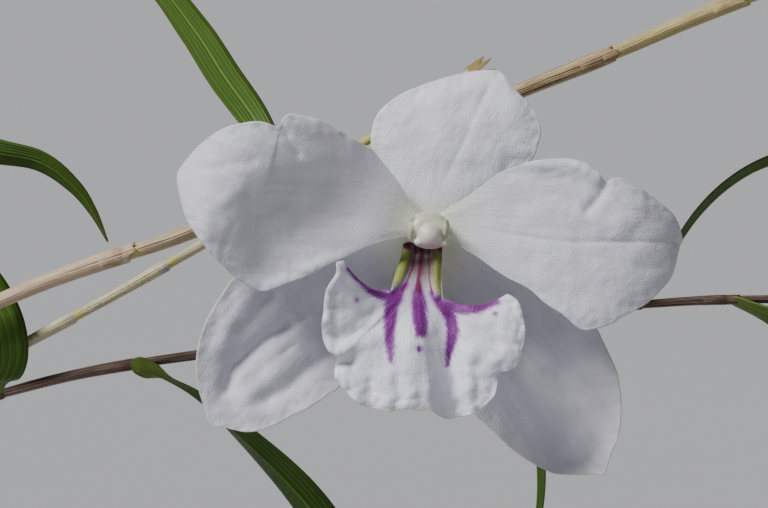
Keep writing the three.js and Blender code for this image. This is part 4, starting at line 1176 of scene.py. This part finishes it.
def sheathMouths(name, route, radius, joints, toneAt, taper, material):
    # the papery, torn end of each sheath, standing a little off the cane
    points, faces = [], []
    values = {"section": [], "along": [], "share": [], "tone": []}
    sides, rings = mouth["sides"], mouth["rings"]
    for number, joint in enumerate(joints[1:-1]):
        slim = 1 - taper * joint / route.length
        tone = toneAt(float(route((joint - 4) / route.length)[0]) - flowerPlace["at"][0], number)
        stations = np.linspace(-mouth["below"], mouth["onward"], mouth["stations"])
        spine = route(np.clip((joint + stations) / route.length, 0, 1))
        tangent = unit(np.gradient(spine, axis=0))
        beside = acrossOf(spine, None)
        above = np.cross(tangent, beside)
        start = len(points)
        for skin in (1, 0):
            for i in range(rings):
                s = i / (rings - 1)
                for j in range(sides):
                    turn = 2 * math.pi * j / sides
                    torn = noise.noise((2.2 * math.cos(turn), 2.2 * math.sin(turn), joint)) * 2
                    torn += 0.5 * noise.noise((7 * math.cos(turn), 7 * math.sin(turn), joint + 9)) * 2
                    reach = mouth["below"] + mouth["above"] + mouth["ragged"] * torn
                    reach += mouth["slant"] * math.cos(turn - number * 2.4 - 0.6)
                    at = s * max(reach, mouth["below"] + 0.1) / (stations[1] - stations[0])
                    k = min(int(at), len(stations) - 2)
                    w = at - k
                    middle = spine[k] * (1 - w) + spine[k + 1] * w
                    wide = radius * slim * (mouth["snug"] + (mouth["flare"] - mouth["snug"]) * s**2)
                    dent = noise.noise((3 * math.cos(turn), 3 * math.sin(turn), joint + s))
                    wide += mouth["dent"] * radius * dent * s
                    wide -= 0 if skin else mouth["skin"] * (1 - 0.5 * s)
                    outwards = beside[k] * math.cos(turn) + above[k] * math.sin(turn)
                    points.append(tuple(middle + wide * outwards))
                    values["section"].append((math.cos(turn), math.sin(turn), 0))
                    values["along"].append((joint - mouth["below"] + s * 4) * mm)
                    values["share"].append(0.9 + 0.1 * s)
                    values["tone"].append(tone)
        inner = rings * sides
        faces += bands(start, rings, sides) + bands(start + inner, rings, sides, inward=True)
        low, top = start, start + inner - sides
        for j in range(sides):
            k = (j + 1) % sides
            faces.append((low + k, low + j, low + inner + j, low + inner + k))
            faces.append((top + j, top + k, top + inner + k, top + inner + j))
    return addMesh(name, points, faces, material, values)


leafShape = {"heel": 0.024, "pastHeel": 0.035, "steps": 29, "fineSteps": 80, "leastHalfWidth": 0.12,
             "baseTurn": (0.02, 0.12)}
ruledLeaves = {"spread": (38, 16), "lift": 0.12, "length": (56, 18), "shorter": 0.35, "droop": (0.75, 0.5),
               "halfWidth": (2.9, 0.9), "bends": 5}
bractShape = {"turns": (-1, 1, 0.2), "spread": 0.5, "below": 3, "length": (5.5, 1), "arch": 0.2,
              "halfWidth": 1.0, "tone": 0.9}
# how wide a leaf is from its foot to its tip
bladeShare = smoothPath([[w] for w in (0.36, 0.5, 0.8, 0.95, 1.0, 1.0, 0.95, 0.85, 0.68, 0.42, 0.06)])


def leafSpine(points, halfWidth, tone, side, steps=leafShape["steps"]):
    heel = leafShape["heel"]
    beyond = np.linspace(leafShape["pastHeel"], 1, steps)
    t = np.concatenate([heel * np.array([0, 1 / 8, 1 / 3, 5 / 8, 1]), beyond])
    path = EvenPath(points, 200)(t)
    # the foot of the blade is rounded
    rounding = np.sqrt(np.clip(1 - (1 - np.minimum(t / heel, 1)) ** 2, 0.03, 1))
    radius = np.maximum(bladeShare(t)[:, 0] * halfWidth * rounding, leafShape["leastHalfWidth"])
    return {"points": path, "radius": radius, "side": side(t), "share": t, "tone": tone,
            "along": t * halfWidth * 18}


def ruleLeaf(route, distance, index, number, fraction):
    t = distance / route.length
    at = route(t)
    tangent = route.tangent(t)
    level = unit(np.array([-tangent[1], tangent[0], 0]))
    side = 1 if number % 2 else -1
    rule = ruledLeaves
    spreadAngle = math.radians(between(rule["spread"], scatter(index, number)))
    heading = tangent * math.cos(spreadAngle) + level * side * math.sin(spreadAngle)
    heading[2] += rule["lift"]
    heading = unit(heading)
    length = between(rule["length"], scatter(number, index + 3)) * (1 - rule["shorter"] * fraction)
    droop = between(rule["droop"], scatter(index + 7, number))
    points = [at]
    for i in range(rule["bends"]):
        bent = heading.copy()
        bent[2] -= droop * (i + 0.5) / rule["bends"]
        at = at + unit(bent) * length / rule["bends"]
        points.append(at)
    across = np.array([-heading[1], heading[0], 0])
    halfWidth = between(rule["halfWidth"], scatter(index, number + 5))
    tone = scatter(index + 2, number + 9)
    return leafSpine(points, halfWidth, tone, lambda t: np.repeat(across[None], len(t), 0))


def handLeaf(route, leaf, tone):
    start = route(distanceAt(route, leaf["at"]) / route.length)
    if "start" in leaf:
        start = toWorld([leaf["start"]])[0]
    wideFrom, wideTo = turned(leaf["wideFrom"]), turned(leaf["wideTo"])
    wideBase = turned(leaf.get("wideBase", leaf["wideFrom"]))

    def side(t):
        base = (1 - ease(*leafShape["baseTurn"], t))[:, None]
        return (wideFrom * (1 - t[:, None]) + wideTo * t[:, None]) * (1 - base) + wideBase * base

    points = [start, *toWorld(leaf["points"])]
    return leafSpine(points, leaf["halfWidth"], tone, side, leafShape["fineSteps"])


def bracts(route, index):
    tip = route(1.0)
    tangent = route.tangent(1.0)
    side = unit(np.array([-tangent[1], tangent[0], 0.3]))
    spines = []
    for turn in bractShape["turns"]:
        bent = unit(tangent + side * turn * bractShape["spread"])
        start = tip - tangent * bractShape["below"]
        end = start + bent * between(bractShape["length"], scatter(index, turn + 2))
        points = [start, (start + end) / 2 + np.array([0, 0, bractShape["arch"]]), end]
        spines.append(leafSpine(points, bractShape["halfWidth"], bractShape["tone"],
                                lambda t: np.repeat(side[None], len(t), 0)))
    return spines


caneFinishes = {
    "tan": {"light": (0.78, 0.60, 0.40, 1), "dark": (0.17, 0.08, 0.03, 1), "joint": (0.70, 0.64, 0.22, 1),
            "mouth": (0.34, 0.19, 0.10, 1), "fresh": (0.60, 0.50, 0.22, 1), "aged": (0.74, 0.62, 0.34, 1),
            "speckle": 0.12},
    "pale": {"light": (0.80, 0.74, 0.46, 1), "dark": (0.30, 0.24, 0.12, 1), "joint": (0.72, 0.64, 0.16, 1),
             "mouth": (0.46, 0.42, 0.46, 1), "speckle": 0.75},
    "dark": {"light": (0.40, 0.27, 0.21, 1), "dark": (0.035, 0.012, 0.010, 1),
             "joint": (0.30, 0.20, 0.10, 1), "mouth": (0.10, 0.04, 0.03, 1), "speckle": 0.2},
    "olive": {"light": (0.50, 0.43, 0.20, 1), "dark": (0.16, 0.12, 0.04, 1), "joint": (0.34, 0.34, 0.10, 1),
              "mouth": (0.22, 0.15, 0.06, 1), "speckle": 0.3},
    "green": {"light": (0.26, 0.35, 0.08, 1), "dark": (0.10, 0.16, 0.03, 1), "joint": (0.40, 0.42, 0.14, 1),
              "mouth": (0.24, 0.22, 0.07, 1), "speckle": 0.2},
}
leafFinish = {"young": (0.085, 0.175, 0.016, 1), "old": (0.016, 0.046, 0.004, 1),
              "rib": (0.18, 0.28, 0.055, 1), "dry": (0.34, 0.24, 0.10, 1)}


def caneMaterial(name, finish):
    material, tree, shader = newMaterial(name, Specular_IOR_Level=0.35)
    fibres = useGroup(tree, sheathFibres, Section=attribute(tree, "section", "Vector"),
                      Along=attribute(tree, "along"), Count=3.4)
    gaps = calc(tree, "SUBTRACT", 1.0, fibres["Fibres"])
    tone = attribute(tree, "tone")
    striped = calc(tree, "MULTIPLY_ADD", tone, 0.75, 0.25)
    fresh = finish.get("fresh", finish["light"])
    light = blend(tree, spread(tree, tone, 0.0, -0.1), finish["light"], fresh)
    light = blend(tree, spread(tree, tone, 0.5, 0.9), light, finish.get("aged", finish["light"]))
    colour = blend(tree, calc(tree, "MULTIPLY", gaps, striped), light, finish["dark"])
    stained = calc(tree, "MULTIPLY", spread(tree, fibres["Blotches"], 0.5, 0.7), striped)
    colour = blend(tree, calc(tree, "MULTIPLY", stained, 0.6), colour, finish["dark"])
    speckle = clouds(tree, objectPlace(tree), 1800.0, 2.0, 0.7)
    colour = blend(tree, spread(tree, speckle, 0.6, 0.68, 0.0, finish["speckle"]), colour, finish["dark"])
    share = attribute(tree, "share")
    cloudy = clouds(tree, objectPlace(tree), 700.0, 2.0)
    end = calc(tree, "MULTIPLY", spread(tree, share, 0.88, 0.98), spread(tree, cloudy, 0.35, 0.6))
    foot = spread(tree, share, 0.12, 0.06)
    colour = blend(tree, calc(tree, "MULTIPLY", end, 0.8), colour, finish["mouth"])
    colour = blend(tree, calc(tree, "MULTIPLY", foot, 0.85), colour, finish["joint"])
    wire(tree, shader, Base_Color=colour, Roughness=spread(tree, fibres["Fibres"], 0, 1, 0.68, 0.46),
         Normal=bumpFrom(tree, fibres["Fibres"], 0.00018, 0.9))
    return material


def leafMaterial(name, dry=0.0):
    material, tree, shader = newMaterial(name, Specular_IOR_Level=0.2, Subsurface_Weight=0.08,
                                         Subsurface_Scale=0.0006)
    section = addNode(tree, "ShaderNodeSeparateXYZ", {0: attribute(tree, "section", "Vector")})
    across = calc(tree, "ABSOLUTE", section.outputs[0])
    share = attribute(tree, "share")
    lay = addNode(tree, "ShaderNodeCombineXYZ", {
        0: calc(tree, "MULTIPLY", section.outputs[0], 9.0),
        1: calc(tree, "MULTIPLY", attribute(tree, "along"), 0.02), 2: attribute(tree, "tone")})
    veins = clouds(tree, lay.outputs[0], 1.6, 2.0)
    mottled = clouds(tree, objectPlace(tree), 140.0, 4.0)
    # age and painted shade: the listed leaves' tones darken those that lie in shade towards the old green
    youthAndShade = calc(tree, "MULTIPLY_ADD", mottled, 0.5, calc(tree, "MULTIPLY", attribute(tree, "tone"), 0.5))
    colour = blend(tree, youthAndShade, leafFinish["old"], leafFinish["young"])
    colour = blend(tree, spread(tree, veins, 0.4, 0.7, 0.0, 0.22), colour, leafFinish["old"])
    lines = calc(tree, "SINE", calc(tree, "MULTIPLY", across, 30.0))
    colour = blend(tree, spread(tree, lines, 0.7, 1.0, 0.0, 0.3), colour, leafFinish["rib"])
    colour = blend(tree, spread(tree, across, 0.0, 0.07, 0.7, 0.0), colour, leafFinish["rib"])
    colour = blend(tree, spread(tree, share, 0.0, 0.16, 0.75, 0.0), colour, leafFinish["rib"])
    browned = calc(tree, "MULTIPLY", spread(tree, share, 0.93, 1.0), spread(tree, mottled, 0.4, 0.6))
    colour = blend(tree, browned, colour, leafFinish["dry"])
    colour = blend(tree, dry, colour, leafFinish["dry"])
    groove = calc(tree, "ADD", veins, spread(tree, across, 0.0, 0.1, 0.0, 0.8))
    height = calc(tree, "MULTIPLY_ADD", lines, -0.25, groove)
    wire(tree, shader, Base_Color=colour, Roughness=spread(tree, veins, 0.3, 0.7, 0.42, 0.58),
         Normal=bumpFrom(tree, height, 0.00012, 0.8))
    return material


def makePlant():
    finishes = {key: caneMaterial("sheath_" + key, value) for key, value in caneFinishes.items()}
    green, dried = leafMaterial("leafGreen"), leafMaterial("bractDry", 0.85)
    ribbed = ringSection("ribbedRing", **sections["ribbed"])
    plain = ringSection("plainRing", **sections["plain"])
    blade = bladeSection("bladeSection", **sections["blade"])
    for index, cane in enumerate(canes):
        route = routeOf(cane, index)
        radius = cane.get("radius", caneShape["radius"])
        internode = cane.get("internode", caneShape["internode"])
        joints = jointsOf(route, internode, cane.get("jointsSeen", []))
        section = ribbed if "seen" in cane else plain
        finish = cane.get("finish", "olive")
        toneAt = toneRule(cane, index)
        taper = cane.get("taper", caneShape["taper"])
        spine = caneSpine(route, radius, joints, toneAt, taper)
        stem = sweep(cane["name"] + "_stem", [spine], section, finishes[finish])
        finishPiece(stem, "leaf" if finish == "green" else "cane", cane["name"])
        if cane.get("sheaths", "seen" in cane):
            torn = sheathMouths(cane["name"] + "_sheaths", route, radius, joints, toneAt, taper,
                                finishes[finish])
            finishPiece(torn, "cane")
        spines = []
        if "leavesFrom" in cane:
            for number, joint in enumerate(joints[1:]):
                at = min(joint, route.length - 2)
                if at / route.length >= cane["leavesFrom"]:
                    spines.append(ruleLeaf(route, at, index, number, at / route.length))
        for number, leaf in enumerate(cane.get("handLeaves", [])):
            # the listed leaves' tones carry painted shade as well as age
            spines.append(handLeaf(route, leaf, leaf.get("tone", 0.4)))
        if spines:
            finishPiece(sweep(cane["name"] + "_leaves", spines, blade, green), "leaf")
        if cane.get("bracts"):
            finishPiece(sweep(cane["name"] + "_bracts", bracts(route, index), blade, dried), "cane")
    print("stage: canes and leaves made")


makePlant()

# Pot: thrown clay with rounded edges

clayFinish = {"clay": (0.52, 0.20, 0.095, 1), "pale": (0.66, 0.36, 0.22, 1), "bloom": (0.72, 0.62, 0.52, 1),
              "damp": (0.30, 0.11, 0.055, 1)}
potDetail = {"sides": 160, "corner": 1.7, "cornerSteps": 5, "ringStep": 1.2, "ringDepth": 0.07,
             "ringPitch": 3.1, "wobble": 0.12, "drillSides": 32, "drilled": (-3, 9)}


def clayMaterial():
    material, tree, shader = newMaterial("terracotta", Specular_IOR_Level=0.25)
    place = objectPlace(tree)
    height = addNode(tree, "ShaderNodeSeparateXYZ", {0: place}).outputs[2]
    cloudy = clouds(tree, place, 26.0, 6.0)
    fine = clouds(tree, place, 520.0, 4.0)
    speck = addNode(tree, "ShaderNodeTexVoronoi", {"Vector": place, "Scale": 420.0}).outputs["Distance"]
    colour = blend(tree, spread(tree, cloudy, 0.35, 0.65), clayFinish["clay"], clayFinish["pale"])
    lowDown = spread(tree, height, 0.055, 0.008, 0.15, 0.8)
    bloom = calc(tree, "MULTIPLY", spread(tree, cloudy, 0.5, 0.72), lowDown)
    colour = blend(tree, bloom, colour, clayFinish["bloom"])
    damp = calc(tree, "MULTIPLY", spread(tree, fine, 0.5, 0.7), 0.35)
    colour = blend(tree, damp, colour, clayFinish["damp"])
    colour = blend(tree, spread(tree, speck, 0.12, 0.05, 0.0, 0.6), colour, clayFinish["damp"])
    grain = calc(tree, "MULTIPLY_ADD", fine, 0.7, calc(tree, "MULTIPLY", cloudy, 0.8))
    wire(tree, shader, Base_Color=colour, Roughness=spread(tree, fine, 0.3, 0.7, 0.78, 0.95),
         Normal=bumpFrom(tree, grain, 0.0005, 0.7))
    return material


def rounded(outline, radius, steps):
    # every corner of an outline is replaced by a short arc
    points = []
    n = len(outline)
    for i in range(n):
        a, b, c = (np.array(outline[k % n], float) for k in (i - 1, i, i + 1))
        if b[0] == 0 or i in (0, n - 1):
            points.append(b)
            continue
        toA, toC = a - b, c - b
        reach = min(radius, np.linalg.norm(toA) * 0.45, np.linalg.norm(toC) * 0.45)
        p, q = b + unit(toA) * reach, b + unit(toC) * reach
        for t in np.linspace(0, 1, steps):
            points.append((1 - t) ** 2 * p + 2 * t * (1 - t) * b + t * t * q)
    return points


def makePot():
    h = pot["height"]
    slope = (pot["shoulderRadius"] - pot["footRadius"]) / pot["shoulderHeight"]
    outline = [
        (0, 0), (pot["footRadius"] - 0.1, 0), (pot["shoulderRadius"], pot["shoulderHeight"]),
        (pot["rimRadius"] - 0.2, pot["shoulderHeight"] + 1.4), (pot["rimRadius"] + 0.6, h),
        (pot["rimRadius"] - pot["wall"] - 0.4, h),
        (pot["footRadius"] + slope * pot["floor"] - pot["wall"], pot["floor"]), (0, pot["floor"]),
    ]
    profile = rounded(outline, potDetail["corner"], potDetail["cornerSteps"])
    # the walls are cut into short steps, to carry the rings that throwing leaves
    long = []
    for a, b in zip(profile, profile[1:]):
        cuts = 1
        if min(a[0], b[0]) > pot["footRadius"] - 8:
            cuts = max(1, int(np.linalg.norm(b - a) / potDetail["ringStep"]))
        long += [a + (b - a) * k / cuts for k in range(cuts)]
    long.append(profile[-1])
    sides = potDetail["sides"]
    points, faces = [(0, 0, 0), (0, 0, pot["floor"])], []
    inner = long[1:-1]
    for i, (r, z) in enumerate(inner):
        throwing = potDetail["ringDepth"] * math.sin(z * 2 * math.pi / potDetail["ringPitch"]) * (z > 2)
        for j in range(sides):
            turn = 2 * math.pi * j / sides
            wobble = potDetail["wobble"] * math.sin(2 * turn + z * 0.03)
            wobble += throwing * (0.6 + 0.4 * math.sin(turn * 3 + z))
            points.append(((r + wobble) * math.cos(turn), (r + wobble) * math.sin(turn), z))
    last = 2 + (len(inner) - 1) * sides
    for j in range(sides):
        k = (j + 1) % sides
        faces.append((0, 2 + k, 2 + j))
        faces.append((1, last + j, last + k))
    faces += bands(2, len(inner), sides)
    piece = addMesh("clay_pot", points, faces, clayMaterial())
    outward(piece)
    drills, ring = [], []
    sides = potDetail["drillSides"]
    for i in range(pot["drainHoles"]):
        turn = math.radians(pot["drainTurn"] + 360 / pot["drainHoles"] * i)
        x, y = pot["drainRing"] * math.cos(turn), pot["drainRing"] * math.sin(turn)
        start = len(drills)
        for z in potDetail["drilled"]:
            for j in range(sides):
                a = 2 * math.pi * j / sides
                east, north = pot["drainRadius"] * math.cos(a), pot["drainRadius"] * math.sin(a)
                drills.append((x + east, y + north, z))
        ring += [tuple(range(start, start + sides))[::-1], tuple(range(start + sides, start + 2 * sides))]
        ring += bands(start, 2, sides)
    drill = addMesh("drill", drills, ring, petalWhite)
    cut = piece.modifiers.new("drain", "BOOLEAN")
    cut.object = drill
    cut.solver = "EXACT"
    made = evaluated(piece)
    piece.modifiers.clear()
    piece.data = made
    made.materials.clear()
    made.materials.append(bpy.data.materials["terracotta"])
    made.set_sharp_from_angle(angle=math.radians(40))
    bpy.data.objects.remove(drill)
    finishPiece(piece, "clay", "pot")


makePot()
print("stage: pot made")

# Potting mix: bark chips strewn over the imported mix

bark = {"seed": 7, "toneSeed": 5, "distance": 2.3, "density": 400000.0, "small": 0.62, "large": 1.35,
        "tumble": 0.5, "reach": 42.5, "cells": 60, "above": 0.4, "clearOfCanes": 3.6, "shapes": 4,
        "halfLength": (3.4, 1.3), "halfWidth": (2.0, 0.9), "halfThickness": (0.9, 0.5),
        "dents": (0.72, 0.5), "flattening": (0.8, 0.4)}
barkFinish = {"dark": (0.035, 0.018, 0.010, 1), "mid": (0.13, 0.065, 0.03, 1),
              "light": (0.30, 0.18, 0.09, 1)}


def barkMaterial():
    material, tree, shader = newMaterial("barkMix", Specular_IOR_Level=0.3)
    place = objectPlace(tree)
    tone = attribute(tree, "tone")
    stretched = addNode(tree, "ShaderNodeVectorMath", {0: place, 1: (1.0, 1.0, 3.0)}, operation="MULTIPLY")
    layers = clouds(tree, stretched.outputs[0], 330.0, 5.0, 0.65)
    colour = blend(tree, spread(tree, layers, 0.35, 0.7), barkFinish["dark"], barkFinish["mid"])
    pale = calc(tree, "MULTIPLY", spread(tree, tone, 0.45, 1.0), spread(tree, layers, 0.45, 0.62))
    colour = blend(tree, pale, colour, barkFinish["light"])
    wire(tree, shader, Base_Color=colour, Roughness=spread(tree, layers, 0.3, 0.7, 0.95, 0.72),
         Normal=bumpFrom(tree, layers, 0.0009, 0.9))
    return material


def mixHeight(x, y):
    lump = math.sin(x * 0.42 + 1.3 * math.sin(y * 0.31)) * math.cos(y * 0.47 - 0.9 * math.sin(x * 0.27))
    dome = mix["dome"] * math.exp(-(x * x + y * y) / mix["domeWidth"] ** 2)
    return mix["top"] + dome + mix["relief"] * (lump - 0.4)


def makeChipTree():
    tree = bpy.data.node_groups.new("strewChips", "GeometryNodeTree")
    tree.is_modifier = True
    for label, kind in (("Ground", "NodeSocketGeometry"), ("Chips", "NodeSocketCollection"),
                        ("Distance", "NodeSocketFloat"), ("Small", "NodeSocketFloat"),
                        ("Large", "NodeSocketFloat"), ("Seed", "NodeSocketInt"),
                        ("Finish", "NodeSocketMaterial")):
        tree.interface.new_socket(label, in_out="INPUT", socket_type=kind)
    tree.interface.new_socket("Strewn", in_out="OUTPUT", socket_type="NodeSocketGeometry")
    start, end = tree.nodes.new("NodeGroupInput"), tree.nodes.new("NodeGroupOutput")
    dots = addNode(tree, "GeometryNodeDistributePointsOnFaces", {
        "Mesh": start.outputs["Ground"], "Distance Min": start.outputs["Distance"],
        "Density Max": bark["density"], "Seed": start.outputs["Seed"]}, distribute_method="POISSON")
    chips = addNode(tree, "GeometryNodeCollectionInfo", {
        "Collection": start.outputs["Chips"], "Separate Children": True, "Reset Children": True})
    tumble = bark["tumble"]
    turn = addNode(tree, "FunctionNodeRandomValue",
                   {0: (-tumble, -tumble, 0.0), 1: (tumble, tumble, 6.283), "Seed": start.outputs["Seed"]},
                   data_type="FLOAT_VECTOR")
    size = addNode(tree, "FunctionNodeRandomValue",
                   {2: start.outputs["Small"], 3: start.outputs["Large"], "Seed": start.outputs["Seed"]},
                   data_type="FLOAT")
    tone = addNode(tree, "FunctionNodeRandomValue", {2: 0.0, 3: 1.0, "Seed": bark["toneSeed"]},
                   data_type="FLOAT")
    rotated = addNode(tree, "FunctionNodeEulerToRotation", {0: turn.outputs[0]})
    placed = addNode(tree, "GeometryNodeInstanceOnPoints", {
        "Points": dots.outputs["Points"], "Instance": chips.outputs[0], "Pick Instance": True,
        "Rotation": rotated.outputs[0], "Scale": size.outputs[1]})
    toned = addNode(tree, "GeometryNodeStoreNamedAttribute",
                    {"Geometry": placed.outputs[0], "Name": "tone", "Value": tone.outputs[1]},
                    data_type="FLOAT", domain="INSTANCE")
    whole = addNode(tree, "GeometryNodeRealizeInstances", {0: toned.outputs[0]})
    painted = addNode(tree, "GeometryNodeSetMaterial",
                      {"Geometry": whole.outputs[0], "Material": start.outputs["Finish"]})
    tree.links.new(painted.outputs[0], end.inputs[0])
    return tree


def makeMix():
    material = barkMaterial()
    frame["nodes"]["potting_mix"].data.materials.clear()
    frame["nodes"]["potting_mix"].data.materials.append(material)
    feet = [clumpFoot(i) for i in range(len(canes))]
    points, faces = [], []
    n, reach = bark["cells"], bark["reach"]
    for i in range(n + 1):
        for j in range(n + 1):
            x, y = (2 * i / n - 1) * reach, (2 * j / n - 1) * reach
            points.append((x, y, mixHeight(x, y) + bark["above"]))
    for i in range(n):
        for j in range(n):
            x, y = (2 * (i + 0.5) / n - 1) * reach, (2 * (j + 0.5) / n - 1) * reach
            clear = all(math.hypot(x - a, y - b) > bark["clearOfCanes"] for a, b in feet)
            if math.hypot(x, y) < reach and clear:
                a = i * (n + 1) + j
                faces.append((a, a + n + 1, a + n + 2, a + 1))
    ground = addMesh("barkGround", points, faces, material)
    heap = bpy.data.collections.new("chipShapes")
    for k in range(bark["shapes"]):
        shape = []
        size = [between(bark[key], scatter(k, number))
                for number, key in enumerate(("halfLength", "halfWidth", "halfThickness"), 1)]
        some, ring = blob((0, 0, 0), size, 6, 8)
        for q, p in enumerate(some):
            push = between(bark["dents"], scatter(q, k + 11))
            flat = between(bark["flattening"], scatter(q, k + 17))
            shape.append((p[0] * push, p[1] * push, p[2] * flat))
        mesh = bpy.data.meshes.new("chip" + str(k))
        mesh.from_pydata((np.array(shape) * mm).tolist(), [], ring)
        heap.objects.link(bpy.data.objects.new("chip" + str(k), mesh))
    tree = makeChipTree()
    modifier = ground.modifiers.new("strew", "NODES")
    modifier.node_group = tree
    for label, value in (("Chips", heap), ("Distance", bark["distance"] * mm), ("Small", bark["small"]),
                         ("Large", bark["large"]), ("Seed", bark["seed"]), ("Finish", material)):
        setInput(modifier, tree, label, value)
    made = evaluated(ground)
    ground.modifiers.clear()
    bpy.data.objects.remove(ground)
    chips = addObject("bark_chips", made)
    outward(chips)
    finishPiece(chips, "bark")
    for shape in list(heap.objects):
        bpy.data.objects.remove(shape)
    bpy.data.collections.remove(heap)


makeMix()
print("stage: bark mix made")

# Floor, lights and camera

studio = {
    "floor": (0.38, 0.38, 0.39, 1), "floorPale": (0.5, 0.5, 0.52, 1), "floorSize": 90.0,
    "sky": (0.80, 0.84, 0.92, 1), "skyStrength": 0.07,
    "keyFrom": (-0.60, 0.74, 0.43), "keyPower": 5.0, "keySpread": 24.0,
    "fillFrom": (0.75, 0.1, 0.7), "fillPower": 0.12, "fillSpread": 50.0,
}
cameraView = {"aim": (-5.2, -2.6, 0.0), "distance": 450.0, "elevation": 6.0, "lens": 178.8, "sensor": 36.0}


def addSun(name, source, power, spreadAngle):
    data = bpy.data.lights.new(name, "SUN")
    data.energy = power
    data.angle = math.radians(spreadAngle)
    lamp = addObject(name, data)
    lamp.rotation_euler = Vector(turned(source)).to_track_quat("Z", "Y").to_euler()


def makeStudio():
    half = studio["floorSize"] / 2
    material, tree, shader = newMaterial("studioFloor", Roughness=0.9, Specular_IOR_Level=0.1)
    tone = clouds(tree, objectPlace(tree), 0.8, 2.0)
    wire(tree, shader, Base_Color=blend(tree, spread(tree, tone, 0.3, 0.7, 0.0, 0.06),
                                        studio["floor"], studio["floorPale"]))
    mesh = bpy.data.meshes.new("studioFloor")
    corners = [(-half, -half, 0), (half, -half, 0), (half, half, 0), (-half, half, 0)]
    mesh.from_pydata(corners, [], [(0, 1, 2, 3)])
    mesh.materials.append(material)
    floor = addObject("studioFloor", mesh)
    world = bpy.data.worlds.new("softSky")
    world.use_nodes = True
    world.node_tree.nodes["Background"].inputs[0].default_value = studio["sky"]
    world.node_tree.nodes["Background"].inputs[1].default_value = studio["skyStrength"]
    bpy.context.scene.world = world
    for name in ("key", "fill"):
        addSun(name + "Light", studio[name + "From"], studio[name + "Power"], studio[name + "Spread"])


def makeCamera():
    data = bpy.data.cameras.new("camera")
    data.lens = cameraView["lens"]
    data.sensor_width = cameraView["sensor"]
    data.clip_start, data.clip_end = 0.01, 200
    camera = addObject("camera", data)
    aim = Vector(toWorld([cameraView["aim"]])[0])
    rise = math.radians(cameraView["elevation"])
    back = Vector((0, -math.cos(rise), math.sin(rise)))
    camera.location = (aim + back * cameraView["distance"]) * mm
    camera.rotation_euler = (-back).to_track_quat("-Z", "Y").to_euler()
    bpy.context.scene.camera = camera


makeStudio()
makeCamera()
print("stage: studio and camera made")
